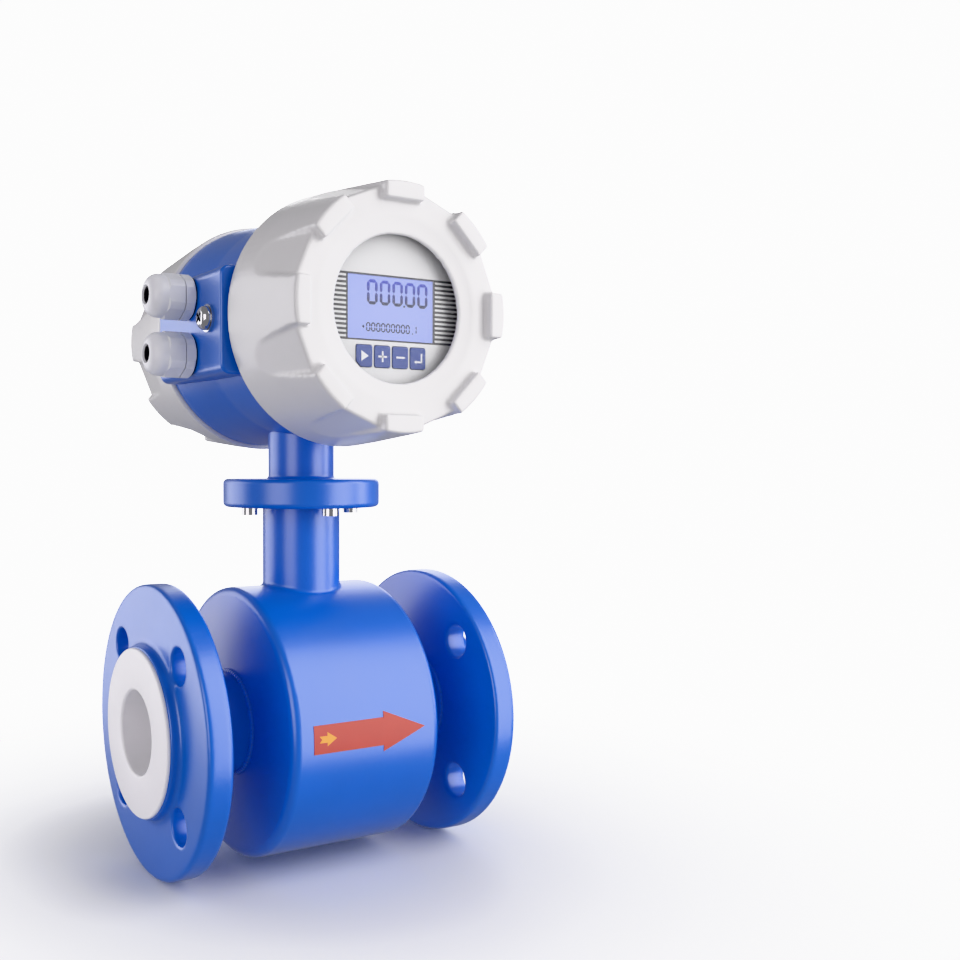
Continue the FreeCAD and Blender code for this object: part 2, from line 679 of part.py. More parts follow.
# ---------------------------------------------------------------- converter housing
def housing_outside():
    """Turned body with its two threaded spigots, in steps along the head's axis."""
    lip_end = BODY_FRONT_Y + BODY_LIP_LENGTH
    rear_lip = BODY_REAR_Y - BODY_LIP_LENGTH
    return turned([
        (BODY_FRONT_Y - SPIGOT_LENGTH, 0, 0),
        (BODY_FRONT_Y - SPIGOT_LENGTH, SPIGOT_R, 0),
        (BODY_FRONT_Y, SPIGOT_R, 0),
        (BODY_FRONT_Y, BODY_FRONT_LIP_R, BODY_EDGE),
        (lip_end, BODY_FRONT_LIP_R, BODY_LIP_EDGE),
        (lip_end + BODY_LIP_SLOPE, BODY_WAIST_R, BODY_STEP_ROUND),
        (0, BODY_WAIST_R, BODY_WAIST_ROUND),
        (rear_lip, BODY_REAR_R, BODY_REAR_ROUND),
        (BODY_REAR_Y, BODY_REAR_R, BODY_EDGE),
        (BODY_REAR_Y, SPIGOT_R, 0),
        (BODY_REAR_Y + SPIGOT_LENGTH, SPIGOT_R, 0),
        (BODY_REAR_Y + SPIGOT_LENGTH, 0, 0),
    ], HEAD_CENTRE, BACKWARD)


def gland_saddle():
    """Raised saddle on the left side that carries the glands and the earth screw."""
    low = V(GLAND_PAD_X, GLAND_PAD_FRONT_Y, GLAND_MID_Z - GLAND_PAD_HEIGHT / 2)
    high = V(0, GLAND_PAD_REAR_Y, GLAND_MID_Z + GLAND_PAD_HEIGHT / 2)
    saddle = block(low, high)
    long_edges = []
    for edge in saddle.Edges:
        box = edge.BoundBox
        if box.XMax < GLAND_PAD_X + FIT and box.YLength > GLAND_PAD_EDGE:
            long_edges.append(edge)
    saddle = saddle.makeFillet(GLAND_PAD_EDGE, long_edges)
    end_edges = []
    for edge in saddle.Edges:
        box = edge.BoundBox
        if box.YLength < FIT and box.XMin < GLAND_PAD_X + GLAND_PAD_EDGE and box.XMax < -FIT:
            end_edges.append(edge)
    return saddle.makeFillet(GLAND_PAD_END_EDGE, end_edges)


def converter_neck():
    """Converter's neck with the flange that the sensor's flange is let into."""
    shape = turned([
        (JOINT_BOTTOM_Z, 0, 0),
        (JOINT_BOTTOM_Z, JOINT_OD / 2, JOINT_EDGE),
        (JOINT_TOP_Z, JOINT_OD / 2, JOINT_EDGE),
        (JOINT_TOP_Z, CONVERTER_NECK_OD / 2, WELD_LEG),
        (HEAD_Z - CHAMBER_R, CONVERTER_NECK_OD / 2, 0),
        (HEAD_Z - CHAMBER_R, 0, 0),
    ])
    recess_r = SENSOR_FLANGE_OD / 2 + SENSOR_FLANGE_GAP
    shape = shape.cut(housing_outside()).cut(converter_neck_bore())
    shape = shape.cut(rod(recess_r, V(0, 0, JOINT_BOTTOM_Z - CUT_PAST), V(0, 0, GASKET_TOP_Z)))
    for offset in around(NECK_SCREW_COUNT, NECK_SCREW_CIRCLE_D / 2, 0, UP):
        tip = JOINT_BOTTOM_Z + NECK_SCREW_REACH + SCREW_TIP_GAP
        shape = shape.cut(rod(NECK_SCREW_D / 2 + FIT, offset + UP * JOINT_BOTTOM_Z, offset + UP * tip))
    return shape


def converter_neck_bore():
    """Wire passage from the neck joint up into the chambers."""
    top = V(0, 0, HEAD_Z - CHAMBER_R + NECK_BORE_REACH)
    return rod(CONVERTER_NECK_BORE_D / 2, V(0, 0, JOINT_BOTTOM_Z), top)


def converter_housing():
    """Cast body with two chambers, the gland saddle and the display bosses."""
    body = fused([housing_outside(), gland_saddle()])
    front = rod(CHAMBER_R, head(0, BODY_FRONT_Y - SPIGOT_LENGTH, 0), head(0, PARTITION_Y, 0))
    rear = rod(CHAMBER_R, head(0, PARTITION_REAR_Y, 0), head(0, BODY_REAR_Y + SPIGOT_LENGTH, 0))
    body = body.cut(front).cut(rear)
    bosses = around(MODULE_SCREW_COUNT, MODULE_SCREW_CIRCLE_R, 45, FORWARD)
    middle = PARTITION_THICKNESS / 2
    for boss in bosses:
        foot = head(0, PARTITION_Y + middle, 0) + boss
        body = body.fuse(rod(MODULE_BOSS_D / 2, foot, foot + FORWARD * (middle + MODULE_BOSS)))
    body = body.removeSplitter()
    wire_start = head(0, PARTITION_Y - CUT_PAST, -WIRE_HOLE_DROP)
    wire_end = head(0, PARTITION_REAR_Y + CUT_PAST, -WIRE_HOLE_DROP)
    tools = [converter_neck_bore(), rod(WIRE_HOLE_D / 2, wire_start, wire_end)]
    for z in GLAND_Z.values():
        outside = V(GLAND_PAD_X - CUT_PAST, 0, z)
        tools.append(rod(GLAND_THREAD_R + FIT, outside, V(GLAND_HOLE_END_X, 0, z)))
    for boss in bosses:
        start = head(0, CASE_FLOOR_Y, 0) + boss
        reach = MODULE_SCREW_REACH - CASE_WALL + SCREW_TIP_GAP
        tools.append(rod(MODULE_SCREW_D / 2 + FIT, start, start + BACKWARD * reach))
    earth = head(GLAND_PAD_X, EARTH_Y, -EARTH_DROP)
    tools.append(rod(EARTH_D / 2 + FIT, earth, earth + RIGHT * (EARTH_REACH + EARTH_HOLE_ROOM)))
    for tool in tools:
        body = body.cut(tool)
    return body


# ---------------------------------------------------------------- covers
def flute_core():
    """Eight-sided taper whose flats are the floors of the flutes."""
    rings = []
    for along, apothem in ((COVER_BAND_LENGTH, COVER_BAND_R), (RING_FACE, RING_APOTHEM)):
        corner_r = apothem / math.cos(math.pi / LUG_COUNT)
        corners = around(LUG_COUNT, corner_r, 0, UP)
        corners.append(corners[0])
        rings.append(Part.makePolygon([corner + UP * along for corner in corners]))
    return Part.makeLoft(rings, True, True)


def rib(angle):
    """One rib of a cover, narrowing towards its lug."""
    wide = COVER_RIM_R * 2
    steps = (
        (COVER_BAND_LENGTH, RIB_ROOT_HALF_WIDTH),
        (RING_FACE, LUG_HALF_WIDTH),
        (COVER_LENGTH, LUG_HALF_WIDTH),
    )
    rings = []
    for along, half in steps:
        corners = [
            V(LUG_INNER_R, -half, along),
            V(wide, -half, along),
            V(wide, half, along),
            V(LUG_INNER_R, half, along),
        ]
        corners.append(corners[0])
        rings.append(Part.makePolygon(corners))
    shape = Part.makeLoft(rings, True, True)
    shape.rotate(V(0, 0, 0), UP, angle)
    return shape


def cover_outside():
    """Fluted cover, solid, standing on its rim along +Z."""
    blank = turned([
        (0, 0, 0),
        (0, COVER_RIM_R, COVER_RIM_EDGE),
        (COVER_BAND_LENGTH, COVER_BAND_R, COVER_SHOULDER),
        (COVER_LENGTH, COVER_LUG_R, LUG_EDGE),
        (COVER_LENGTH, 0, 0),
    ])
    band = rod(COVER_RIM_R + CUT_PAST, V(0, 0, 0), V(0, 0, COVER_BAND_LENGTH))
    ribs = [rib(360 * i / LUG_COUNT) for i in range(LUG_COUNT)]
    return blank.common(fused([band, flute_core()] + ribs))


def seal_groove():
    """Face groove for the cover's O-ring, in the rim."""
    outer = SEAL_R + SEAL_GROOVE_WIDTH / 2
    inner = SEAL_R - SEAL_GROOVE_WIDTH / 2
    return ring(outer, inner, V(0, 0, -CUT_PAST), V(0, 0, SEAL_GROOVE_DEPTH))


def thread_bore():
    """Bore that runs over the body's spigot, with a relief behind it."""
    return rod(SPIGOT_R + THREAD_GAP, V(0, 0, -CUT_PAST), V(0, 0, COVER_THREAD_DEPTH))


def window_bevel():
    """Cutter for the hollow bevel round the window."""
    middle_r = (BEVEL_R + WINDOW_R) / 2
    middle = V(middle_r, 0, (WINDOW_EDGE + RING_FACE) / 2 - BEVEL_SAG)
    edges = [
        Part.Arc(V(WINDOW_R, 0, WINDOW_EDGE), middle, V(BEVEL_R, 0, RING_FACE)).toShape(),
        Part.LineSegment(V(BEVEL_R, 0, RING_FACE), V(0, 0, RING_FACE)).toShape(),
        Part.LineSegment(V(0, 0, RING_FACE), V(0, 0, WINDOW_EDGE)).toShape(),
        Part.LineSegment(V(0, 0, WINDOW_EDGE), V(WINDOW_R, 0, WINDOW_EDGE)).toShape(),
    ]
    return Part.Face(Part.Wire(edges)).revolve(V(0, 0, 0), UP, 360)


def front_cover():
    """Front cover's fluted shell, open at the window ring."""
    cavity = rod(COVER_CAVITY_R, V(0, 0, 0), V(0, 0, WEB_BACK))
    mouth = rod(LUG_INNER_R, V(0, 0, 0), V(0, 0, COVER_LENGTH + CUT_PAST))
    cover = cover_outside()
    for tool in (cavity, mouth, thread_bore(), seal_groove()):
        cover = cover.cut(tool)
    return placed(cover, head(0, FRONT_RIM_Y, 0), FORWARD)


def window_ring():
    """Inner ring of the front cover, with the bevel and the seats of glass and retainer."""
    web = rod(LUG_INNER_R, V(0, 0, WEB_BACK), V(0, 0, RING_FACE))
    retainer_bore = rod(RETAINER_OUTER_R + FIT, V(0, 0, 0), V(0, 0, GLASS_BACK))
    glass_bore = rod(GLASS_R + FIT, V(0, 0, 0), V(0, 0, WINDOW_SEAT))
    opening = rod(WINDOW_R, V(0, 0, 0), V(0, 0, COVER_LENGTH))
    for tool in (retainer_bore, glass_bore, opening, window_bevel()):
        web = web.cut(tool)
    return placed(web, head(0, FRONT_RIM_Y, 0), FORWARD)


def rear_cover():
    """Blank rear cover with a shallow dish."""
    cavity = rod(COVER_CAVITY_R, V(0, 0, 0), V(0, 0, RING_FACE - COVER_END_WALL))
    dish = turned([
        (RING_FACE - DISH_DEPTH, 0, 0),
        (RING_FACE - DISH_DEPTH, WINDOW_R, 0),
        (RING_FACE, BEVEL_R, 0),
        (RING_FACE, 0, 0),
    ])
    cover = cover_outside()
    for tool in (cavity, dish, thread_bore(), seal_groove()):
        cover = cover.cut(tool)
    return placed(cover, head(0, REAR_RIM_Y, 0), BACKWARD)


def cover_seal(rim_y, direction):
    """O-ring in the groove of a cover's rim, just clear of the body's face."""
    section_r = SEAL_SECTION_D / 2
    torus = Part.makeTorus(SEAL_R, section_r)
    return placed(torus, head(0, rim_y, 0) + direction * section_r, direction)


def window_stack(outer_r, inner_r, back, front):
    """Ring or disc of the window stack, measured out from the cover's rim."""
    start = head(0, FRONT_RIM_Y - back, 0)
    end = head(0, FRONT_RIM_Y - front, 0)
    if inner_r == 0:
        return rod(outer_r, start, end)
    return ring(outer_r, inner_r, start, end)


def window_seal():
    """Flat gasket between the window lip and the glass."""
    return window_stack(GLASS_R, GLASS_R - WINDOW_SEAL_WIDTH, GLASS_FRONT, WINDOW_SEAT)


def window_glass():
    """Toughened round glass."""
    return window_stack(GLASS_R, 0, GLASS_BACK, GLASS_FRONT)


def window_retainer():
    """Screwed ring that holds the glass, with two notches for a pin spanner."""
    shape = window_stack(RETAINER_OUTER_R, RETAINER_INNER_R, RETAINER_BACK, GLASS_BACK)
    middle_r = (RETAINER_OUTER_R + RETAINER_INNER_R) / 2
    for x in (-middle_r, middle_r):
        start = head(x, FRONT_RIM_Y - RETAINER_BACK, 0)
        notch = rod(RETAINER_NOTCH_D / 2, start, start + FORWARD * (RETAINER_THICKNESS / 2))
        shape = shape.cut(notch)
    return shape


# ---------------------------------------------------------------- display module
def module_case():
    """Moulded cup that carries the boards and the faceplate."""
    cup = rod(CASE_R, head(0, CASE_FLOOR_Y, 0), head(0, PLATE_BACK_Y, 0))
    cup = cup.cut(rod(CASE_R - CASE_WALL, head(0, CASE_FLOOR_FRONT_Y, 0), head(0, PLATE_BACK_Y, 0)))
    for boss in around(MODULE_SCREW_COUNT, MODULE_SCREW_CIRCLE_R, 45, FORWARD):
        start = head(0, CASE_FLOOR_Y + CUT_PAST, 0) + boss
        end = head(0, CASE_FLOOR_FRONT_Y - CUT_PAST, 0) + boss
        cup = cup.cut(rod(MODULE_SCREW_D / 2 + FIT, start, end))
    passage_end = head(0, CASE_FLOOR_FRONT_Y - CUT_PAST, -WIRE_HOLE_DROP)
    return cup.cut(rod(WIRE_HOLE_D / 2, head(0, 0, -WIRE_HOLE_DROP), passage_end))


def module_screws():
    """Screws that hold the case on the partition."""
    pieces = []
    for boss in around(MODULE_SCREW_COUNT, MODULE_SCREW_CIRCLE_R, 45, FORWARD):
        seat = head(0, CASE_FLOOR_FRONT_Y, 0) + boss
        screw = rod(MODULE_SCREW_HEAD_D / 2, seat, seat + FORWARD * MODULE_SCREW_HEAD_HEIGHT)
        pieces.append(screw.fuse(rod(MODULE_SCREW_D / 2, seat, seat + BACKWARD * MODULE_SCREW_REACH)))
    return Part.makeCompound(pieces)


def plate_opening(width, height, x, rise):
    """Rectangular cutter through the faceplate."""
    low = head(x - width / 2, PLATE_FRONT_Y - CUT_PAST, rise - height / 2)
    high = head(x + width / 2, PLATE_BACK_Y + CUT_PAST, rise + height / 2)
    return block(low, high)


def key_x(index):
    """Place of a key across the head."""
    return KEY_X + (index - (KEY_COUNT - 1) / 2) * KEY_PITCH


def key_outline(index, grow):
    """Rounded key face; the first key has its lower outer corner cut off."""
    half_w = KEY_WIDTH / 2 + grow
    half_h = KEY_HEIGHT / 2 + grow
    corners = [(half_h, half_w, KEY_CORNER), (half_h, -half_w, KEY_CORNER)]
    if index == 0:
        corners.append((-half_h + KEY_CHAMFER, -half_w, KEY_CORNER))
        corners.append((-half_h, -half_w + KEY_CHAMFER, KEY_CORNER))
    else:
        corners.append((-half_h, -half_w, KEY_CORNER))
    corners.append((-half_h, half_w, KEY_CORNER))
    return Part.Face(rounded_wire(corners))


def key_block(index, grow, front_y, back_y):
    """Straight bar with a key's outline."""
    face = key_outline(index, grow)
    face.translate(head(key_x(index), front_y, -KEY_DROP))
    return face.extrude(V(0, back_y - front_y, 0))


def faceplate():
    """Front panel with openings for the screen and the keys."""
    hollow_end = head(0, PLATE_FRONT_Y + PLATE_THICKNESS, 0)
    hollow = rod(PLATE_R - PLATE_SKIRT, head(0, PLATE_BACK_Y, 0), hollow_end)
    solid = rod(PLATE_R, head(0, PLATE_BACK_Y, 0), head(0, PLATE_FRONT_Y, 0))
    rim = rod(CASE_R, head(0, PLATE_BACK_Y, 0), head(0, PLATE_BACK_Y - PLATE_RIM, 0))
    shape = fused([solid, rim]).cut(hollow)
    shape = shape.cut(plate_opening(SCREEN_WIDTH, SCREEN_HEIGHT, SCREEN_X, SCREEN_RISE))
    for index in range(KEY_COUNT):
        shape = shape.cut(key_block(index, KEY_FIT, PLATE_FRONT_Y - CUT_PAST, PLATE_BACK_Y + CUT_PAST))
    return shape


def lcd_module():
    """Backlit screen: the glass fills the panel's opening and its frame sits behind the panel."""
    half_w = SCREEN_WIDTH / 2 - SCREEN_FIT
    half_h = SCREEN_HEIGHT / 2 - SCREEN_FIT
    glass = block(
        head(SCREEN_X - half_w, PLATE_FRONT_Y + SCREEN_RECESS, SCREEN_RISE - half_h),
        head(SCREEN_X + half_w, DISPLAY_BOARD_Y, SCREEN_RISE + half_h))
    half_w = SCREEN_FRAME_WIDTH / 2
    half_h = SCREEN_FRAME_HEIGHT / 2
    frame = block(
        head(SCREEN_X - half_w, SCREEN_BACK_Y, SCREEN_FRAME_RISE - half_h),
        head(SCREEN_X + half_w, DISPLAY_BOARD_Y, SCREEN_FRAME_RISE + half_h))
    return fused([glass, frame])


def key_cap(index):
    """One key, standing a little proud of the faceplate."""
    return key_block(index, 0, KEY_FRONT_Y, KEY_BACK_Y)


def key_switches():
    """Small push switches under the keys."""
    pieces = []
    for index in range(KEY_COUNT):
        half = SWITCH_WIDTH / 2
        x = key_x(index)
        low = head(x - half, DISPLAY_BOARD_Y - SWITCH_HEIGHT, -KEY_DROP - half)
        high = head(x + half, DISPLAY_BOARD_Y, -KEY_DROP + half)
        start = head(x, DISPLAY_BOARD_Y - SWITCH_HEIGHT, -KEY_DROP)
        plunger_end = head(x, KEY_BACK_Y + KEY_TRAVEL + PLUNGER_GAP, -KEY_DROP)
        pieces.append(fused([block(low, high), rod(PLUNGER_D / 2, start, plunger_end)]))
    return Part.makeCompound(pieces)


def display_board():
    """Round board behind the screen and the keys."""
    return rod(DISPLAY_BOARD_R, head(0, DISPLAY_BOARD_Y, 0), head(0, DISPLAY_BOARD_Y + BOARD_THICKNESS, 0))


def main_board():
    """Round signal board near the floor of the case."""
    return rod(MAIN_BOARD_R, head(0, MAIN_BOARD_Y, 0), head(0, MAIN_BOARD_Y + BOARD_THICKNESS, 0))


def board_block(width, depth, height, x, rise):
    """Component on the front of the main board."""
    low = head(x - width / 2, MAIN_BOARD_Y - depth, rise - height / 2)
    high = head(x + width / 2, MAIN_BOARD_Y, rise + height / 2)
    return block(low, high)


def board_spacers():
    """Pillars from the case floor to the main board, and on to the display board."""
    pieces = []
    for offset in around(SPACER_COUNT, SPACER_CIRCLE_R, 0, FORWARD):
        floor = head(0, CASE_FLOOR_FRONT_Y, 0) + offset
        low_end = head(0, MAIN_BOARD_Y + BOARD_THICKNESS, 0) + offset
        high_start = head(0, MAIN_BOARD_Y, 0) + offset
        high_end = head(0, DISPLAY_BOARD_Y + BOARD_THICKNESS, 0) + offset
        pieces.append(rod(SPACER_D / 2, floor, low_end))
        pieces.append(rod(SPACER_D / 2, high_start, high_end))
    return Part.makeCompound(pieces)


# ---------------------------------------------------------------- terminal compartment
def terminal_corners():
    """Fixing points of the terminal board, as (x, rise)."""
    reach_x = TERMINAL_BOARD_WIDTH / 2 - TERMINAL_INSET
    reach_z = TERMINAL_BOARD_HEIGHT / 2 - TERMINAL_INSET
    return [(x, rise) for x in (-reach_x, reach_x) for rise in (-reach_z, reach_z)]


def terminal_board():
    """Board that carries the terminal blocks."""
    half_w = TERMINAL_BOARD_WIDTH / 2
    half_h = TERMINAL_BOARD_HEIGHT / 2
    low = head(-half_w, TERMINAL_BOARD_Y, -half_h)
    high = head(half_w, BLOCK_BASE_Y, half_h)
    board = block(low, high)
    for x, rise in terminal_corners():
        start = head(x, TERMINAL_BOARD_Y - CUT_PAST, rise)
        end = head(x, BLOCK_BASE_Y + CUT_PAST, rise)
        board = board.cut(rod(MODULE_SCREW_D / 2 + FIT, start, end))
    return board


def terminal_spacers():
    """Short pillars between the partition and the terminal board."""
    pieces = []
    for x, rise in terminal_corners():
        start = head(x, PARTITION_REAR_Y, rise)
        end = head(x, TERMINAL_BOARD_Y, rise)
        pieces.append(ring(TERMINAL_SPACER_D / 2, MODULE_SCREW_D / 2 + FIT, start, end))
    return Part.makeCompound(pieces)


def terminal_board_screws():
    """Screws through the terminal board into its pillars."""
    pieces = []
    for x, rise in terminal_corners():
        seat = head(x, BLOCK_BASE_Y, rise)
        screw = rod(MODULE_SCREW_HEAD_D / 2, seat, seat + BACKWARD * MODULE_SCREW_HEAD_HEIGHT)
        pieces.append(screw.fuse(rod(MODULE_SCREW_D / 2, seat, seat + FORWARD * MODULE_SCREW_REACH)))
    return Part.makeCompound(pieces)


def way_x(index):
    """Place of one way of a terminal block."""
    return (index - (BLOCK_WAYS - 1) / 2) * BLOCK_WIDTH / BLOCK_WAYS


def terminal_block(side):
    """Row of screw terminals; side is +1 for the upper row and -1 for the lower."""
    rise = side * BLOCK_OFFSET
    top = BLOCK_BASE_Y + BLOCK_DEPTH
    low = head(-BLOCK_WIDTH / 2, BLOCK_BASE_Y, rise - BLOCK_HEIGHT / 2)
    high = head(BLOCK_WIDTH / 2, top, rise + BLOCK_HEIGHT / 2)
    shape = block(low, high)
    outer = rise + side * BLOCK_HEIGHT / 2
    bottom, roof = sorted((outer - side * BLOCK_ENTRY_WIDTH, outer + side * CUT_PAST))
    entry_y = BLOCK_BASE_Y + BLOCK_ENTRY_FLOOR
    half = BLOCK_ENTRY_WIDTH / 2
    for index in range(BLOCK_WAYS):
        x = way_x(index)
        well_start = head(x, top - BLOCK_SCREW_DEPTH, rise)
        well = rod(BLOCK_SCREW_D / 2 + FIT, well_start, head(x, top + CUT_PAST, rise))
        entry = block(head(x - half, entry_y, bottom), head(x + half, entry_y + BLOCK_ENTRY_WIDTH, roof))
        shape = shape.cut(well).cut(entry)
    return shape


def terminal_screws():
    """Slotted clamping screws of both terminal rows."""
    pieces = []
    top = BLOCK_BASE_Y + BLOCK_DEPTH
    crest = top - BLOCK_SCREW_SUNK
    half_span = BLOCK_SLOT_SPAN / 2
    half_width = BLOCK_SLOT_WIDTH / 2
    for rise in (-BLOCK_OFFSET, BLOCK_OFFSET):
        for index in range(BLOCK_WAYS):
            x = way_x(index)
            screw = rod(BLOCK_SCREW_D / 2, head(x, top - BLOCK_SCREW_DEPTH, rise), head(x, crest, rise))
            slot_low = head(x - half_span, crest - BLOCK_SLOT_DEPTH, rise - half_width)
            slot = block(slot_low, head(x + half_span, top, rise + half_width))
            pieces.append(screw.cut(slot))
    return Part.makeCompound(pieces)


# ---------------------------------------------------------------- cable glands
def turned_hexagon(start, end, chamfer_start):
    """Hexagon whose corners are turned off, chamfered at its outer end."""
    bar = hexagon(GLAND_AF, start, end)
    span = end - start
    corners = [
        (0, 0, 0),
        (0, GLAND_TURNED_D / 2 - chamfer_start, 0),
        (chamfer_start, GLAND_TURNED_D / 2, 0),
        (span.Length, GLAND_TURNED_D / 2, 0),
        (span.Length, 0, 0),
    ]
    return bar.common(turned(corners, start, span))


def gland_body(z):
    """Gland body: threaded shank, hexagon and the thread that the dome nut runs on."""
    base = V(GLAND_BASE_X, 0, z)
    hexed = turned_hexagon(base, V(GLAND_HEX_X, 0, z), GLAND_HEX_CHAMFER)
    shank = rod(GLAND_THREAD_R, base, base + RIGHT * (GLAND_SHANK_LENGTH + GLAND_WASHER_THICKNESS))
    neck_end = V(GLAND_HEX_X - GLAND_NECK_LENGTH, 0, z)
    neck = rod(GLAND_THREAD_R - GLAND_NECK_RELIEF, V(GLAND_HEX_X, 0, z), neck_end)
    shape = fused([hexed, shank, neck])
    bore = rod(GLAND_BORE_D / 2, V(GLAND_HOLE_END_X, 0, z), neck_end + LEFT * CUT_PAST)
    return shape.cut(bore)


def gland_washers():
    """Flat sealing washers under both gland hexagons."""
    pieces = []
    for z in GLAND_Z.values():
        outer_r = GLAND_AF / 2 - GLAND_WASHER_INSET
        pieces.append(ring(outer_r, GLAND_THREAD_R + FIT, V(GLAND_PAD_X, 0, z), V(GLAND_BASE_X, 0, z)))
    return Part.makeCompound(pieces)


def gland_seal(z):
    """Rubber sleeve that the dome nut squeezes on the cable."""
    seat_x = GLAND_TIP_X + GLAND_ROOF + SEAL_GAP
    start = V(seat_x + GLAND_SEAL_LENGTH, 0, z)
    end = V(seat_x, 0, z)
    outer_r = GLAND_CABLE_D / 2 + GLAND_SEAL_WALL
    return ring(outer_r, GLAND_CABLE_D / 2, start, end)


def gland_nut(z):
    """Dome nut: hexagon at its open end and a rounded nose with the cable mouth."""
    start = V(GLAND_NUT_X, 0, z)
    hexed = turned_hexagon(V(GLAND_NUT_X - GLAND_NUT_HEX_LENGTH, 0, z), start, GLAND_NUT_CHAMFER)
    dome = turned([
        (0, 0, 0),
        (0, GLAND_AF / 2, GLAND_NUT_EDGE),
        (GLAND_NUT_LENGTH, GLAND_AF / 2, GLAND_DOME_R),
        (GLAND_NUT_LENGTH, 0, 0),
    ], start, LEFT)
    thread_r = GLAND_THREAD_R - GLAND_NECK_RELIEF + THREAD_GAP
    roof = GLAND_NUT_LENGTH - GLAND_ROOF
    mouth_r = GLAND_CABLE_D / 2
    flared_r = mouth_r + GLAND_MOUTH_CHAMFER / 2
    hollow = turned([
        (-CUT_PAST, 0, 0),
        (-CUT_PAST, thread_r, 0),
        (GLAND_NECK_LENGTH + CUT_PAST, thread_r, 0),
        (roof, GLAND_BORE_D / 2, 0),
        (roof, mouth_r, 0),
        (GLAND_NUT_LENGTH - GLAND_MOUTH_CHAMFER, mouth_r, 0),
        (GLAND_NUT_LENGTH, flared_r, 0),
        (GLAND_NUT_LENGTH + CUT_PAST, flared_r, 0),
        (GLAND_NUT_LENGTH + CUT_PAST, 0, 0),
    ], start, LEFT)
    return fused([hexed, dome]).cut(hollow)


# ---------------------------------------------------------------- earth screw
def earth_washer():
    """Plain washer under the earth screw's head."""
    start = head(GLAND_PAD_X, EARTH_Y, -EARTH_DROP)
    return ring(EARTH_WASHER_D / 2, EARTH_D / 2 + FIT, start, start + LEFT * EARTH_WASHER_THICKNESS)


def earth_screw():
    """Pan head screw with a cross recess."""
    seat = head(GLAND_PAD_X - EARTH_WASHER_THICKNESS, EARTH_Y, -EARTH_DROP)
    pan = turned([
        (0, 0, 0),
        (0, EARTH_HEAD_D / 2, EARTH_HEAD_EDGE),
        (EARTH_HEAD_HEIGHT, EARTH_HEAD_D / 2, EARTH_HEAD_DOME),
        (EARTH_HEAD_HEIGHT, 0, 0),
    ], seat, LEFT)
    shank = rod(EARTH_D / 2, seat, seat + RIGHT * (EARTH_REACH + EARTH_WASHER_THICKNESS))
    shape = fused([pan, shank])
    for angle in (45, -45):
        half_span = EARTH_CROSS_SPAN / 2
        half_width = EARTH_CROSS_WIDTH / 2
        low = V(-half_span, -half_width, EARTH_HEAD_HEIGHT - EARTH_CROSS_DEPTH)
        slot = block(low, V(half_span, half_width, EARTH_HEAD_HEIGHT + CUT_PAST))
        slot.rotate(V(0, 0, 0), UP, angle)
        shape = shape.cut(placed(slot, seat, LEFT))
    return shape


# ---------------------------------------------------------------- all pieces
def pieces():
    """Every piece of the meter under the name of its node."""
    made = {
        "inlet_flange": flange(-1),
        "outlet_flange": flange(1),
        "measuring_tube": measuring_tube(),
        "liner": liner(),
        "liner_face_inlet": liner_face(-1),
        "liner_face_outlet": liner_face(1),
        "electrode_front": electrode(-1),
        "electrode_rear": electrode(1),
        "electrode_bushes": electrode_bushes(),
        "electrode_nuts": electrode_nuts(),
        "pole_upper": pole(1),
        "pole_lower": pole(-1),
        "coil_upper": coil(1),
        "coil_lower": coil(-1),
        "yoke_ring": yoke_ring(),
        "sensor_casing": sensor_casing(),
        "sensor_neck": sensor_neck(),
        "sensor_flange": sensor_flange(),
        "flow_arrow": flow_arrow(),
        "neck_gasket": neck_gasket(),
        "neck_screws": neck_screws(),
        "neck_plug": neck_plug(),
        "converter_neck": converter_neck(),
        "converter_housing": converter_housing(),
        "front_cover": front_cover(),
        "window_ring": window_ring(),
        "front_cover_seal": cover_seal(FRONT_RIM_Y, FORWARD),
        "window_seal": window_seal(),
        "window_glass": window_glass(),
        "window_retainer": window_retainer(),
        "rear_cover": rear_cover(),
        "rear_cover_seal": cover_seal(REAR_RIM_Y, BACKWARD),
        "module_case": module_case(),
        "module_screws": module_screws(),
        "faceplate": faceplate(),
        "lcd_module": lcd_module(),
        "key_switches": key_switches(),
        "display_board": display_board(),
        "main_board": main_board(),
        "power_block": board_block(
            POWER_BLOCK_WIDTH, POWER_BLOCK_DEPTH, POWER_BLOCK_HEIGHT, POWER_BLOCK_X, POWER_BLOCK_RISE),
        "processor": board_block(
            PROCESSOR_WIDTH, PROCESSOR_DEPTH, PROCESSOR_WIDTH, PROCESSOR_X, PROCESSOR_RISE),
        "board_spacers": board_spacers(),
        "terminal_board": terminal_board(),
        "terminal_spacers": terminal_spacers(),
        "terminal_board_screws": terminal_board_screws(),
        "terminal_block_upper": terminal_block(1),
        "terminal_block_lower": terminal_block(-1),
        "terminal_screws": terminal_screws(),
        "gland_washers": gland_washers(),
        "earth_washer": earth_washer(),
        "earth_screw": earth_screw(),
    }
    for index, name in enumerate(("scroll", "plus", "minus", "enter")):
        made["key_" + name] = key_cap(index)
    for name, z in GLAND_Z.items():
        made["gland_body_" + name] = gland_body(z)
        made["gland_seal_" + name] = gland_seal(z)
        made["gland_nut_" + name] = gland_nut(z)
    return made


os.makedirs("parts", exist_ok=True)
for node, shape in pieces().items():
    shape.exportStep("parts/" + node + ".step")
    print(node, len(shape.Solids), round(shape.Volume, 1), shape.isValid())
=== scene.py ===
"""Electromagnetic flow meter: finishes, printed details, welds and threads on the CAD frame."""
import bpy
import bmesh
import json
import math
from mathutils import Matrix, Vector

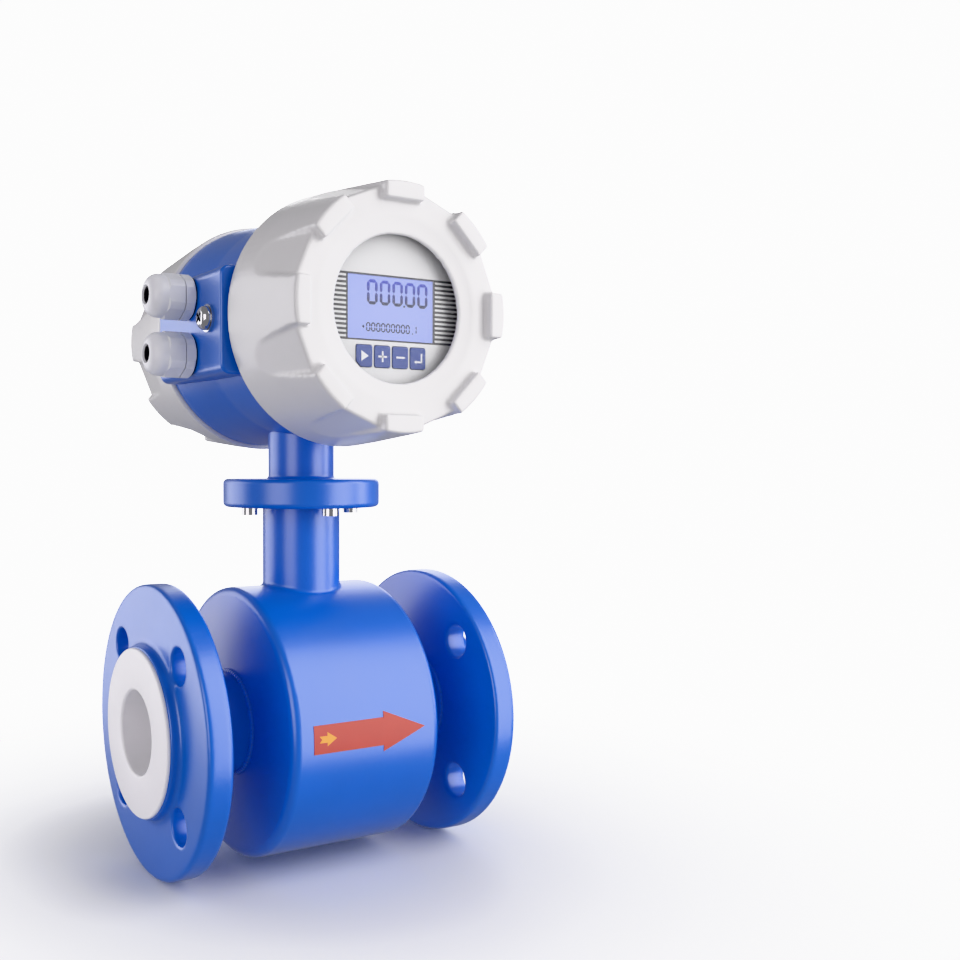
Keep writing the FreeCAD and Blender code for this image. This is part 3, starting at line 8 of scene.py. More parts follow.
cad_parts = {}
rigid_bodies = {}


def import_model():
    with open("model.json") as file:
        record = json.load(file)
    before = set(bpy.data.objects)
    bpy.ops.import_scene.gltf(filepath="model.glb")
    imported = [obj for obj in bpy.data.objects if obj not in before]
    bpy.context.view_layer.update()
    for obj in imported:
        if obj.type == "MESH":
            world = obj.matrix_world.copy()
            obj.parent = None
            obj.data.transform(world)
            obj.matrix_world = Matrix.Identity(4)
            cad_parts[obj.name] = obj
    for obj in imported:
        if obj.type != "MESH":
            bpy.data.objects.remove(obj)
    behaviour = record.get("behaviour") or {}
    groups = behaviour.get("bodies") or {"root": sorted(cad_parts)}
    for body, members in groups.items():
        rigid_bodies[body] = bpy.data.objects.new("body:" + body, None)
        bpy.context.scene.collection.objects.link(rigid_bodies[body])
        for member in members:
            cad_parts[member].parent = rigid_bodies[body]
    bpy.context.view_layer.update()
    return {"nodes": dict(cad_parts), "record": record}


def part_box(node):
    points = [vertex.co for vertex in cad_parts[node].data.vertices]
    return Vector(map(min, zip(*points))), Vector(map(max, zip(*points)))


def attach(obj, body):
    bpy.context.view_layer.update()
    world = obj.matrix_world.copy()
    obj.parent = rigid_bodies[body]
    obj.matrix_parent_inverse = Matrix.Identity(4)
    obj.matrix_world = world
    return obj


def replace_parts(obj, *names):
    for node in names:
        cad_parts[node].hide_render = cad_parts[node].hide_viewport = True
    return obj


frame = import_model()

# Sizes are in millimetres, in the CAD model's frame, unless a line says otherwise.
MM = 0.001
HEAD_Z = 209.0                # height of the head's axis
PLATE_Y = -88.4               # front of the faceplate
SCREEN_Y = -87.9              # front of the screen's glass
KEY_Y = -88.9                 # front of the keys
SCREEN_X, SCREEN_RISE = 0.4, 0.9            # middle of the screen, from the head's axis
SCREEN_HALF_W, SCREEN_HALF_H = 24.25, 14.9
KEY_XS = {"scroll": -15.025, "plus": -4.875, "minus": 5.275, "enter": 15.425}
KEY_RISE = -22.0
INK = 0.06                    # thickness of printed and lit figures
DRUM_R = 71.0
FILM = 0.22                   # outside of the arrow's film, above the drum
ARROW_ANGLE = math.radians(2.5)
BORE_R = 21.5                 # bore of the lining
GLAND_ZS = {"upper": 221.5, "lower": 192.2}
ROUNDING_STEPS = 6            # straight pieces in a turned form's rounded corner
CREASE = math.radians(35)     # turned forms stay sharp where they bend more


# ---------------------------------------------------------------- node trees
class Value:
    """A socket of a node tree that takes part in ordinary arithmetic."""

    def __init__(self, graph, socket):
        self.graph = graph
        self.socket = socket

    def __add__(self, other):
        return self.graph.math("ADD", self, other)

    def __radd__(self, other):
        return self.graph.math("ADD", other, self)

    def __sub__(self, other):
        return self.graph.math("SUBTRACT", self, other)

    def __rsub__(self, other):
        return self.graph.math("SUBTRACT", other, self)

    def __mul__(self, other):
        return self.graph.math("MULTIPLY", self, other)

    def __rmul__(self, other):
        return self.graph.math("MULTIPLY", other, self)

    def __truediv__(self, other):
        return self.graph.math("DIVIDE", self, other)

    def __rtruediv__(self, other):
        return self.graph.math("DIVIDE", other, self)

    def __lt__(self, other):
        return self.graph.math("LESS_THAN", self, other)

    def __gt__(self, other):
        return self.graph.math("GREATER_THAN", self, other)

    def __abs__(self):
        return self.graph.math("ABSOLUTE", self)


class Graph:
    """A node tree whose nodes all come from one method."""

    def __init__(self, tree):
        self.tree = tree

    def node(self, kind, settings=None, values=None, output=0):
        """Any node: its settings first, then the values or links of its sockets."""
        made = self.tree.nodes.new(kind)
        for key, value in (settings or {}).items():
            setattr(made, key, value)
        for key, value in (values or {}).items():
            if isinstance(value, Value):
                self.tree.links.new(value.socket, made.inputs[key])
            else:
                made.inputs[key].default_value = value
        return Value(self, made.outputs[output])

    def math(self, operation, *values):
        """One step of arithmetic."""
        return self.node("ShaderNodeMath", {"operation": operation}, dict(enumerate(values)))


class Finish(Graph):
    """A material made of a Principled surface and the nodes that vary it."""

    def __init__(self, name, **constants):
        self.material = bpy.data.materials.new(name)
        self.material.use_nodes = True
        super().__init__(self.material.node_tree)
        self.surface = self.tree.nodes["Principled BSDF"]
        for socket, value in constants.items():
            self.surface.inputs[socket.replace("_", " ")].default_value = value
        self.point = self.node("ShaderNodeTexCoord", output="Object")

    def set(self, socket, value):
        """Feed one socket of the surface."""
        self.tree.links.new(value.socket, self.surface.inputs[socket])

    def axes(self):
        """The point's three coordinates, in millimetres."""
        split = self.node("ShaderNodeSeparateXYZ", values={0: self.point}).socket.node
        return [Value(self, split.outputs[axis]) / MM for axis in ("X", "Y", "Z")]

    def noise(self, size, detail=3.0, point=None):
        """Soft noise whose grains are about size millimetres, from 0 to 1."""
        return self.node("ShaderNodeTexNoise", values={
            "Vector": point or self.point, "Scale": 1 / (size * MM), "Detail": detail})

    def stretched(self, scale):
        """The point with its axes stretched, for grain that runs one way."""
        return self.node("ShaderNodeMapping", values={"Vector": self.point, "Scale": scale})

    def mix(self, factor, first, second):
        """Blend of two colours."""
        sockets = {0: factor, 6: first, 7: second}
        return self.node("ShaderNodeMix", {"data_type": "RGBA"}, sockets, output=2)

    def bump(self, height, depth, strength):
        """Relief of the given depth in millimetres."""
        self.set("Normal", self.node("ShaderNodeBump", values={
            "Strength": strength, "Distance": depth * MM, "Height": height}))

    def worn(self, base, spread, size, roughness, rough_spread):
        """Slight drift of colour and gloss over the surface."""
        darker = tuple(c * (1 - spread) for c in base) + (1,)
        lighter = tuple(min(1, c * (1 + spread)) for c in base) + (1,)
        self.set("Base Color", self.mix(self.noise(size, 4.0), darker, lighter))
        self.set("Roughness", roughness + (self.noise(size * 0.3, 5.0) - 0.5) * rough_spread)


# ---------------------------------------------------------------- finishes
def gloss_paint(name, base):
    """Sprayed gloss enamel with a little orange peel."""
    made = Finish(name, Coat_Weight=1.0, Coat_Roughness=0.30, Coat_IOR=1.75)
    made.worn(base, spread=0.10, size=45, roughness=0.42, rough_spread=0.10)
    peel = made.noise(1.6, 2.0) + 0.35 * made.noise(0.35, 2.0)
    made.bump(peel, depth=0.035, strength=0.55)
    return made.material


def powder_paint(name, base):
    """Powder coat: satin, with a fine even texture."""
    made = Finish(name, Coat_Weight=0.6, Coat_Roughness=0.22)
    made.worn(base, spread=0.035, size=30, roughness=0.42, rough_spread=0.08)
    grain = made.noise(0.55) + 0.5 * made.noise(2.2, 2.0)
    made.bump(grain, depth=0.045, strength=0.5)
    return made.material


def moulded(name, base, roughness, grain):
    """Moulded plastic, rubber or printed ink with a fine grain."""
    made = Finish(name)
    made.worn(base, spread=0.06, size=12, roughness=roughness, rough_spread=0.10)
    made.bump(made.noise(grain), depth=0.02, strength=0.6)
    return made.material


def fluoropolymer(name, base):
    """White lining, faintly waxy, with the fine rings of a faced surface."""
    made = Finish(name, Subsurface_Weight=0.06, Subsurface_Radius=(0.002, 0.002, 0.002))
    made.worn(base, spread=0.03, size=14, roughness=0.38, rough_spread=0.10)
    _, y, z = made.axes()
    rings = made.math("SINE", made.math("SQRT", y * y + z * z) * 9.0)
    made.bump(rings * 0.5 + made.noise(0.9), depth=0.012, strength=0.5)
    return made.material


def machined_steel(name, base, roughness, stretch):
    """Bare steel with fine tool marks that run one way."""
    made = Finish(name, Metallic=1.0)
    made.worn(base, spread=0.08, size=8, roughness=roughness, rough_spread=0.12)
    marks = made.noise(0.5, 4.0, made.stretched(stretch))
    made.bump(marks, depth=0.008, strength=0.6)
    return made.material


def clear_glass(name):
    """Toughened window glass, thin to look through."""
    made = Finish(name, IOR=1.5, Alpha=0.05)
    haze = made.noise(24)
    made.set("Base Color", made.mix(haze, (0.80, 0.81, 0.83, 1), (0.90, 0.90, 0.91, 1)))
    made.set("Roughness", 0.02 + haze * 0.03)
    return made.material


def faceplate_print(name):
    """Light grey panel with black bars beside the screen and a line round it."""
    pitch, bar, half_band, line = 2.157, 0.56, 15.1, 0.95
    made = Finish(name)
    x, y, z = made.axes()
    across = abs(x - SCREEN_X)
    rise = z - (HEAD_Z + SCREEN_RISE)
    steps = (rise + half_band) / pitch + 0.5
    from_bar = abs(made.math("FRACT", steps) - 0.5)
    in_band = abs(rise) < half_band + bar
    bars = (from_bar < bar / pitch) * in_band * (across > SCREEN_HALF_W)
    frame_line = (across < SCREEN_HALF_W + line) * in_band
    ink = made.math("MAXIMUM", bars, frame_line) * (y < PLATE_Y + 0.1)
    drift = made.noise(18)
    panel = made.mix(drift, (0.70, 0.705, 0.71, 1), (0.76, 0.765, 0.77, 1))
    made.set("Base Color", made.mix(ink, panel, (0.012, 0.013, 0.018, 1)))
    made.set("Roughness", 0.42 - ink * 0.12 + drift * 0.05)
    made.bump(made.noise(0.4) - ink * 0.4, depth=0.012, strength=0.5)
    return made.material


def lit_screen(name):
    """Backlit liquid crystal glass, a little brighter towards the middle."""
    made = Finish(name, Emission_Strength=0.35)
    x, _, z = made.axes()
    across = (x - SCREEN_X) / SCREEN_HALF_W
    rise = (z - (HEAD_Z + SCREEN_RISE)) / SCREEN_HALF_H
    far = (across * across + rise * rise) * 0.45
    fine = made.noise(0.25, 2.0)
    made.set("Base Color", made.mix(fine, (0.25, 0.31, 0.62, 1), (0.28, 0.34, 0.66, 1)))
    made.set("Emission Color", made.mix(far, (0.42, 0.50, 1.0, 1), (0.30, 0.38, 0.92, 1)))
    made.set("Roughness", 0.22 + fine * 0.05)
    return made.material


def lit_figures(name):
    """Liquid crystal figures: blue at the top of the screen, slate lower down."""
    slate_rise, blue_rise = 3.0, 13.5
    made = Finish(name)
    _, _, z = made.axes()
    height = made.node("ShaderNodeMapRange", values={
        "Value": z, "From Min": HEAD_Z + slate_rise, "From Max": HEAD_Z + blue_rise})
    made.set("Base Color", made.mix(height, (0.030, 0.036, 0.090, 1), (0.035, 0.060, 0.50, 1)))
    made.set("Roughness", 0.40 + made.noise(0.3, 2.0) * 0.1)
    return made.material


def wound_wire(name):
    """Enamelled copper winding: close turns round the core."""
    made = Finish(name, Coat_Weight=0.4)
    made.worn((0.45, 0.15, 0.05), spread=0.15, size=6, roughness=0.32, rough_spread=0.1)
    _, _, z = made.axes()
    made.bump(made.math("SINE", z * 12.0), depth=0.12, strength=0.8)
    return made.material


def circuit_board(name):
    """Green lacquered board with faint tracks."""
    made = Finish(name, Coat_Weight=0.3)
    tracks = made.noise(1.8, 1.0) > 0.56
    made.set("Base Color", made.mix(tracks, (0.012, 0.11, 0.045, 1), (0.03, 0.19, 0.08, 1)))
    made.set("Roughness", 0.36 + made.noise(3) * 0.1)
    made.bump(tracks, depth=0.03, strength=0.5)
    return made.material


def pale_floor(name, radius, fade_from, fade_to):
    """Floor that fades out with distance, given as shares of its radius."""
    made = Finish(name)
    made.worn((0.88, 0.88, 0.89), spread=0.01, size=400, roughness=0.8, rough_spread=0.05)
    x, y, _ = made.axes()
    reach = made.math("SQRT", x * x + y * y) / radius
    made.set("Alpha", made.node("ShaderNodeMapRange", {"interpolation_type": "SMOOTHSTEP"}, {
        "Value": reach, "From Min": fade_from, "From Max": fade_to, "To Min": 1.0, "To Max": 0.0}))
    return made.material


# Machined steel ends in its roughness and stretch, and moulded finishes in roughness and grain.
FINISHES = {
    "blue_paint": gloss_paint("blue enamel", (0.002, 0.135, 0.66)),
    "light_grey_paint": powder_paint("light grey powder coat", (0.75, 0.745, 0.75)),
    "liner_white": fluoropolymer("white lining", (0.94, 0.93, 0.95)),
    "stainless": machined_steel("stainless steel", (0.55, 0.55, 0.56), 0.30, (1, 12, 1)),
    "polished_steel": machined_steel("polished steel", (0.72, 0.72, 0.73), 0.14, (6, 1, 1)),
    "soft_iron": machined_steel("soft iron", (0.20, 0.20, 0.21), 0.45, (1, 6, 1)),
    "enamelled_wire": wound_wire("enamelled winding"),
    "insulation": moulded("insulating collar", (0.72, 0.69, 0.60), 0.5, 0.3),
    "rubber_black": moulded("black rubber", (0.018, 0.018, 0.020), 0.62, 0.4),
    "potting": moulded("potting", (0.03, 0.03, 0.035), 0.35, 2.0),
    "glass": clear_glass("window glass"),
    "panel_grey": faceplate_print("printed panel"),
    "screen_blue": lit_screen("lit screen"),
    "key_blue": moulded("blue keys", (0.014, 0.055, 0.30), 0.46, 0.3),
    "case_grey": moulded("grey case", (0.34, 0.35, 0.37), 0.48, 0.5),
    "board_green": circuit_board("circuit board"),
    "component_black": moulded("black components", (0.022, 0.022, 0.025), 0.45, 0.3),
    "terminal_green": moulded("green terminals", (0.03, 0.22, 0.07), 0.42, 0.3),
    "nylon_grey": moulded("light grey nylon", (0.86, 0.865, 0.90), 0.34, 0.35),
    "label_red": moulded("red film", (0.50, 0.085, 0.065), 0.42, 0.5),
}
WHITE_INK = moulded("white ink", (0.82, 0.83, 0.86), 0.45, 0.2)
YELLOW_INK = moulded("yellow ink", (0.86, 0.42, 0.07), 0.40, 0.2)
SCREEN_INK = lit_figures("screen figures")

for part in frame["record"]["subparts"]:
    for held in frame["nodes"][part["node"]].material_slots:
        held.material = FINISHES[part["material_slot"]]


# ---------------------------------------------------------------- mesh helpers
def placed(name, mesh):
    """Put a mesh into the scene, at the origin."""
    made = bpy.data.objects.new(name, mesh)
    bpy.context.scene.collection.objects.link(made)
    return made


def finished(name, mesh, body, slot, material=None):
    """A piece that rides on a body, in its slot's finish unless another is given."""
    mesh.materials.clear()
    mesh.materials.append(material or FINISHES[slot])
    made = placed(name, mesh)
    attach(made, body)
    return made


def evaluated(holder):
    """Plain mesh of an object with its modifiers done; the object is deleted."""
    graph = bpy.context.evaluated_depsgraph_get()
    mesh = bpy.data.meshes.new_from_object(holder.evaluated_get(graph), depsgraph=graph)
    bpy.data.objects.remove(holder)
    return mesh


def closed_mesh(form, name):
    """Mesh of a bmesh form, with its faces turned outwards."""
    bmesh.ops.recalc_face_normals(form, faces=form.faces)
    mesh = bpy.data.meshes.new(name)
    form.to_mesh(mesh)
    form.free()
    return mesh


def slab(outlines, place):
    """Flat (x, rise) outlines given the ink's thickness by place, a function of a point."""
    form = bmesh.new()
    for outline in outlines:
        front = [form.verts.new(place(x, rise, INK)) for x, rise in outline]
        back = [form.verts.new(place(x, rise, 0)) for x, rise in outline]
        form.faces.new(front)
        form.faces.new(reversed(back))
        for i in range(len(outline)):
            j = (i + 1) % len(outline)
            form.faces.new((front[j], front[i], back[i], back[j]))
    return closed_mesh(form, "slab")


def rounded_outline(corners):
    """Points of a closed (along, radius, rounding) outline, its corners rounded."""
    points = []
    for i, (along, radius, rounding) in enumerate(corners):
        here = Vector((along, radius))
        if rounding == 0:
            points.append(here)
            continue
        back = (Vector(corners[i - 1][:2]) - here).normalized()
        ahead = (Vector(corners[(i + 1) % len(corners)][:2]) - here).normalized()
        half = back.angle(ahead) / 2
        centre = here + (back + ahead).normalized() * (rounding / math.sin(half))
        first = (here + back * (rounding / math.tan(half)) - centre).normalized()
        last = (here + ahead * (rounding / math.tan(half)) - centre).normalized()
        for k in range(ROUNDING_STEPS + 1):
            points.append(centre + first.slerp(last, k / ROUNDING_STEPS) * rounding)
    return points


def turned(corners, place=(0, 0, 0), steps=160):
    """Closed form turned about +X from an outline, then moved to its place."""
    outline = rounded_outline(corners)
    form = bmesh.new()
    rings = []
    for k in range(steps):
        angle = 2 * math.pi * k / steps
        cos, sin = math.cos(angle) * MM, math.sin(angle) * MM
        rings.append([form.verts.new((p.x * MM, p.y * cos, p.y * sin)) for p in outline])
    for k in range(steps):
        this, following = rings[k], rings[(k + 1) % steps]
        for i in range(len(outline)):
            j = (i + 1) % len(outline)
            form.faces.new((this[i], this[j], following[j], following[i])).smooth = True
    mesh = closed_mesh(form, "turned")
    mesh.set_sharp_from_angle(angle=CREASE)
    mesh.transform(Matrix.Translation(Vector(place) * MM))
    return mesh


def on_head(y):
    """Places a flat figure in front of a plane of the head, facing -Y."""
    def place(x, rise, lift):
        return Vector((x, y - lift, HEAD_Z + rise)) * MM
    return place


def on_drum(x, rise, lift):
    """Wraps a flat figure on the drum's front, along the flow arrow."""
    angle = rise / DRUM_R + ARROW_ANGLE
    radius = DRUM_R + FILM + lift
    return Vector((x, -radius * math.cos(angle), radius * math.sin(angle))) * MM


def softened(name, nodes, voxel, rounds, keep, body, slot):
    """One piece in place of CAD nodes of a casting, with its edges softly rounded."""
    joined = bmesh.new()
    for node in nodes:
        joined.from_mesh(frame["nodes"][node].data)
    bmesh.ops.remove_doubles(joined, verts=joined.verts, dist=0.002 * MM)
    rough = bpy.data.meshes.new(name)
    joined.to_mesh(rough)
    joined.free()
    holder = placed(name + "_rough", rough)
    remesh = holder.modifiers.new("remesh", "REMESH")
    remesh.mode = "VOXEL"
    remesh.voxel_size = voxel * MM
    remesh.use_smooth_shade = True
    smooth = holder.modifiers.new("smooth", "SMOOTH")
    smooth.factor = 0.5
    smooth.iterations = rounds
    thin = holder.modifiers.new("thin", "DECIMATE")
    thin.ratio = keep
    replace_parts(finished(name, evaluated(holder), body, slot), *nodes)


# ---------------------------------------------------------------- rules for repeated forms
class Rule(Graph):
    """A Geometry Nodes tree with named inputs for its sizes, in metres."""

    def __init__(self, name, **sizes):
        super().__init__(bpy.data.node_groups.new(name, "GeometryNodeTree"))
        face = self.tree.interface
        face.new_socket("Geometry", in_out="OUTPUT", socket_type="NodeSocketGeometry")
        self.ids = {}
        for size, value in sizes.items():
            kind = "NodeSocketInt" if isinstance(value, int) else "NodeSocketFloat"
            socket = face.new_socket(size, in_out="INPUT", socket_type=kind)
            self.ids[size] = socket.identifier
        start = self.tree.nodes.new("NodeGroupInput")
        self.size = {size: Value(self, start.outputs[size]) for size in sizes}
        self.usual = sizes

    def close(self, geometry, material):
        """End the tree in real geometry with its finish."""
        real = self.node("GeometryNodeRealizeInstances", values={0: geometry})
        done = self.node("GeometryNodeSetMaterial", values={
            "Geometry": real, "Material": material})
        end = self.tree.nodes.new("NodeGroupOutput")
        self.tree.links.new(done.socket, end.inputs[0])

    def mesh(self, place, direction, **sizes):
        """Plain mesh of the rule, stood on a point along a direction."""
        holder = placed("rule", bpy.data.meshes.new("rule"))
        modifier = holder.modifiers.new("rule", "NODES")
        modifier.node_group = self.tree
        for size, value in {**self.usual, **sizes}.items():
            modifier[self.ids[size]] = value
        mesh = evaluated(holder)
        turn = Vector(direction).to_track_quat("Z", "Y").to_matrix().to_4x4()
        mesh.transform(Matrix.Translation(Vector(place) * MM) @ turn)
        return mesh


def thread_rule(material):
    """Screw thread: a small ridge that climbs round a cylinder along +Z."""
    rule = Rule("screw thread", Turns=5.25, Height=10.5 * MM, Radius=55.85 * MM,
                Ridge=0.4 * MM, Steps=120)
    spiral = rule.node("GeometryNodeCurveSpiral", values={
        "Resolution": rule.size["Steps"], "Rotations": rule.size["Turns"],
        "Start Radius": rule.size["Radius"], "End Radius": rule.size["Radius"],
        "Height": rule.size["Height"]})
    profile = rule.node("GeometryNodeCurvePrimitiveCircle", values={
        "Resolution": 4, "Radius": rule.size["Ridge"]})
    ridge = rule.node("GeometryNodeCurveToMesh", values={
        "Curve": spiral, "Profile Curve": profile, "Fill Caps": True})
    rule.close(ridge, material)
    return rule


def bead_rule(material):
    """Painted weld bead: a ring that swells and sinks with each pass of the torch."""
    pass_steps, swelling = 6, 0.06
    rule = Rule("weld bead", Radius=26.3 * MM, Bead=1.7 * MM, Steps=480)
    circle = rule.node("GeometryNodeCurvePrimitiveCircle", values={
        "Resolution": rule.size["Steps"], "Radius": rule.size["Radius"]})
    turn = rule.node("GeometryNodeInputIndex") * (2 * math.pi / pass_steps)
    swell = rule.math("SINE", turn) * swelling + 1.0
    sized = rule.node("GeometryNodeSetCurveRadius", values={"Curve": circle, "Radius": swell})
    profile = rule.node("GeometryNodeCurvePrimitiveCircle", values={
        "Resolution": 12, "Radius": rule.size["Bead"]})
    ring = rule.node("GeometryNodeCurveToMesh", values={
        "Curve": sized, "Profile Curve": profile, "Scale": swell})
    rule.close(rule.node("GeometryNodeSetShadeSmooth", values={"Geometry": ring}), material)
    return rule


# ---------------------------------------------------------------- castings and lining
COVER = {"voxel": 0.75, "rounds": 14, "keep": 0.6, "slot": "light_grey_paint"}
softened("front_cover_casting", ["front_cover", "window_ring"], body="front_lid", **COVER)
softened("rear_cover_casting", ["rear_cover"], body="rear_lid", **COVER)
FORGING = {"voxel": 0.8, "rounds": 8, "keep": 0.7, "body": "meter", "slot": "blue_paint"}
for end in ("inlet", "outlet"):
    softened(end + "_flange_forging", [end + "_flange"], **FORGING)

for end, side in (("inlet", -1), ("outlet", 1)):
    low, high = (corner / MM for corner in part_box("liner_face_" + end))
    back, front = (high.x, low.x) if side < 0 else (low.x, high.x)
    flare = turned([
        (back, BORE_R, 0), (front, BORE_R, 1.4), (front, high.y, 1.1), (back, high.y, 0)])
    piece = finished(end + "_lining", flare, "meter", "liner_white")
    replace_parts(piece, "liner_face_" + end)

# ---------------------------------------------------------------- welds and threads
WELD_XS = {"inlet_drum": -43.0, "outlet_drum": 43.0, "inlet_flange": -75.8, "outlet_flange": 75.8}
beads = bead_rule(FINISHES["blue_paint"])
for name, x in WELD_XS.items():
    finished("weld_" + name, beads.mesh((x, 0, 0), (1, 0, 0)), "meter", "blue_paint")

COVER_THREADS = {"front": (-41.6, -1), "rear": (46.2, 1)}       # start and way along y
GLAND_THREAD_X = -72.2
threads = thread_rule(FINISHES["blue_paint"])
for name, (y, way) in COVER_THREADS.items():
    cut = threads.mesh((0, y, HEAD_Z), (0, way, 0))
    finished("thread_" + name, cut, "meter", "blue_paint")
for name, z in GLAND_ZS.items():
    cut = threads.mesh((GLAND_THREAD_X, 0, z), (-1, 0, 0), Turns=5.6, Height=8.4 * MM,
                       Radius=8.85 * MM, Ridge=0.42 * MM, Steps=48)
    finished("gland_thread_" + name, cut, "meter", "nylon_grey")

# ---------------------------------------------------------------- cable seals in the gland noses
SEAL_X = -77.4
SEAL_OUTLINE = [(0, 3.0, 0), (0, 4.3, 0.25), (-11.2, 4.3, 0.3), (-11.2, 3.4, 0.3)]
for name, z in GLAND_ZS.items():
    lip = turned(SEAL_OUTLINE, place=(SEAL_X, 0, z), steps=64)
    finished("seal_lip_" + name, lip, name + "_gland_cap", "rubber_black")

# ---------------------------------------------------------------- screen figures
# Each bar's ends, as shares of a figure's width and height.
SEGMENT_ENDS = {
    "top": ((0, 1), (1, 1)), "bottom": ((0, 0), (1, 0)),
    "upper_left": ((0, 0.5), (0, 1)), "upper_right": ((1, 0.5), (1, 1)),
    "lower_left": ((0, 0), (0, 0.5)), "lower_right": ((1, 0), (1, 0.5)),
}
ZERO = ("top", "bottom", "upper_left", "upper_right", "lower_left", "lower_right")
ONE = ("upper_right", "lower_right")


def segment(start, end, half):
    """Bar with pointed ends between two corners of a figure."""
    along = (end - start).normalized()
    side = Vector((-along.y, along.x)) * half
    gap = along * (half * 0.12)
    a, b = start + gap, end - gap
    tip = along * half
    return [tuple(p) for p in (
        a, a + tip + side, b - tip + side, b, b - tip - side, a + tip - side)]


def figure(bars, x, rise, width, height, half):
    """Seven-segment figure from its lower left corner; half is half a bar's width."""
    outlines = []
    for bar in bars:
        start, end = [Vector((x + fx * width, rise + fz * height)) for fx, fz in SEGMENT_ENDS[bar]]
        outlines.append(segment(start, end, half))
    return outlines


def block(x, rise, half_width, half_height):
    """Upright rectangle about a point."""
    left, right = x - half_width, x + half_width
    low, high = rise - half_height, rise + half_height
    return [(left, low), (right, low), (right, high), (left, high)]


def cross(x, rise, half_width, half_height, half):
    """Plus sign about a point, of a level and an upright bar."""
    return [block(x, rise, half_width, half), block(x, rise, half, half_height)]


# The flow starts with its decimal point, and the total with its point and plus sign.
flow = [block(8.05, 2.5, 0.55, 0.55)]
for i in range(5):
    flow += figure(ZERO, -12.35 + 7.16 * i, 3.05, width=4.5, height=10.2, half=0.80)
total = [block(13.0, -10.2, 0.36, 0.36)] + cross(-15.1, -8.25, 0.8, 0.8, 0.25)
for i in range(9):
    total += figure(ZERO, -13.2 + 2.8 * i, -10.1, width=1.75, height=3.7, half=0.37)
total += figure(ONE, 13.2, -10.1, width=1.75, height=3.7, half=0.34)
for name, outlines in (("flow_figures", flow), ("total_figures", total)):
    finished(name, slab(outlines, on_head(SCREEN_Y)), "meter", "screen_blue", SCREEN_INK)

# ---------------------------------------------------------------- key symbols
SYMBOLS = {
    "scroll": [[(-1.7, -2.5), (2.3, 0.0), (-1.7, 2.5)]],
    "plus": cross(0, 0, 2.4, 2.6, 0.45),
    "minus": [block(0, 0, 2.4, 0.45)],
    "enter": [
        [(1.6, -2.1), (2.45, -2.1), (2.45, 2.4), (1.6, 2.4)],
        [(-1.2, -2.1), (2.0, -2.1), (2.0, -1.25), (-1.2, -1.25)],
        [(-2.3, -1.68), (-1.0, -2.6), (-1.0, -0.76)]],
}
for name, centre in KEY_XS.items():
    outlines = [[(x + centre, rise + KEY_RISE) for x, rise in flat] for flat in SYMBOLS[name]]
    mark = slab(outlines, on_head(KEY_Y))
    finished("mark_" + name, mark, name + "_key", "panel_grey", WHITE_INK)

# ---------------------------------------------------------------- small pointer on the flow arrow
POINTER = [
    (-29.0, -1.6), (-24.6, -1.6), (-24.6, -3.4), (-19.4, 0.0),
    (-24.6, 3.4), (-24.6, 1.6), (-29.0, 1.6), (-27.6, 0.0)]
finished("arrow_pointer", slab([POINTER], on_drum), "meter", "label_red", YELLOW_INK)

# ---------------------------------------------------------------- floor, in millimetres
FLOOR_Z = -75.2
FLOOR_R = 1100.0
disc = bmesh.new()
bmesh.ops.create_circle(disc, cap_ends=True, segments=96, radius=FLOOR_R * MM)
bmesh.ops.translate(disc, verts=disc.verts, vec=(0, 0, FLOOR_Z * MM))
floor_mesh = bpy.data.meshes.new("floor")
disc.to_mesh(floor_mesh)
disc.free()
floor_mesh.materials.append(pale_floor("pale floor", FLOOR_R, fade_from=0.06, fade_to=0.44))
floor = placed("floor", floor_mesh)
floor.visible_glossy = False

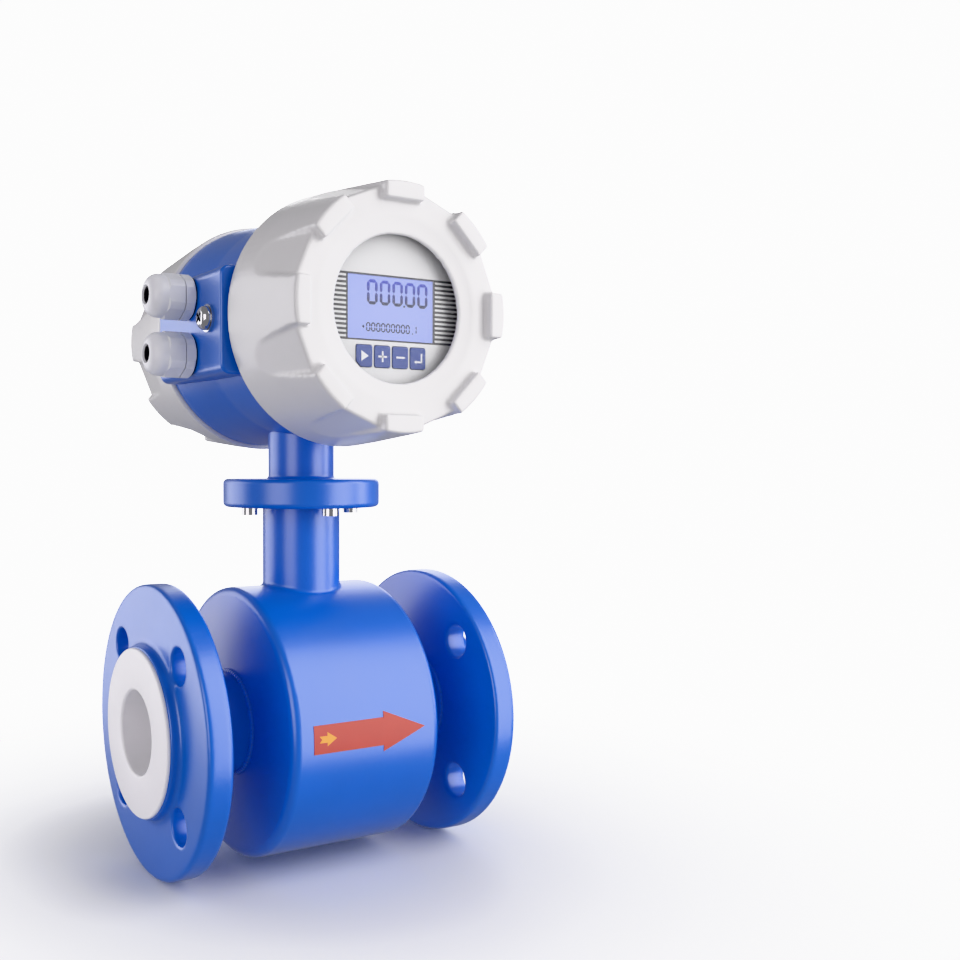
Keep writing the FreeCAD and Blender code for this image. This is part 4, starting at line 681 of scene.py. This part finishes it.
# ---------------------------------------------------------------- light, in metres
bpy.context.scene.view_settings.view_transform = "Khronos PBR Neutral"
world = bpy.data.worlds.new("studio")
bpy.context.scene.world = world
world.use_nodes = True
room = Graph(world.node_tree)
lit = room.tree.nodes["Background"]
lit.inputs["Color"].default_value = (0.97, 0.96, 1.0, 1)
lit.inputs["Strength"].default_value = 0.28
backdrop = room.node("ShaderNodeBackground", values={"Color": (1, 1, 1, 1), "Strength": 3.0})
seen = room.node("ShaderNodeLightPath", output="Is Camera Ray")
blend = room.node("ShaderNodeMixShader", values={
    0: seen, 1: Value(room, lit.outputs["Background"]), 2: backdrop})
room.tree.links.new(blend.socket, room.tree.nodes["World Output"].inputs["Surface"])

LAMPS_AIM = Vector((0, 0, 0.1))


def softbox(name, place, size, power, tint):
    """Large lamp that faces the meter and isn't seen itself."""
    lamp = bpy.data.lights.new(name, "AREA")
    lamp.shape = "RECTANGLE"
    lamp.size, lamp.size_y = size
    lamp.energy = power
    lamp.color = tint
    holder = placed(name, lamp)
    holder.visible_camera = False
    holder.location = place
    holder.rotation_mode = "QUATERNION"
    holder.rotation_quaternion = (Vector(place) - LAMPS_AIM).to_track_quat("Z", "Y")


softbox("key", (0.62, -1.0, 0.42), size=(0.8, 2.2), power=17.0, tint=(1.0, 0.985, 0.98))
softbox("side", (1.2, -0.46, 0.42), size=(0.42, 1.2), power=6.0, tint=(0.96, 0.96, 1.0))
softbox("fill", (-1.15, -0.62, 0.28), size=(0.8, 0.9), power=5.2, tint=(1.0, 0.96, 0.98))
softbox("rear", (-0.88, 1.08, 0.25), size=(1.2, 1.2), power=8.5, tint=(0.98, 0.97, 1.0))
softbox("back", (0.8, 1.1, 0.55), size=(0.7, 0.9), power=4.0, tint=(1.0, 1.0, 1.0))

# ---------------------------------------------------------------- camera, in metres
AZIMUTH, ELEVATION = math.radians(30.109), math.radians(2.252)
forward = Vector((
    math.sin(AZIMUTH) * math.cos(ELEVATION),
    math.cos(AZIMUTH) * math.cos(ELEVATION),
    -math.sin(ELEVATION)))
camera = bpy.data.cameras.new("camera")
camera.lens = 41.603
camera.sensor_width = 36.0
camera.shift_x, camera.shift_y = 0.1604, 0.0333
camera.clip_start, camera.clip_end = 0.01, 50
viewer = placed("camera", camera)
viewer.location = (-0.292544, -0.531589, 0.134212)
viewer.rotation_mode = "QUATERNION"
viewer.rotation_quaternion = forward.to_track_quat("-Z", "Y")
bpy.context.scene.camera = viewer
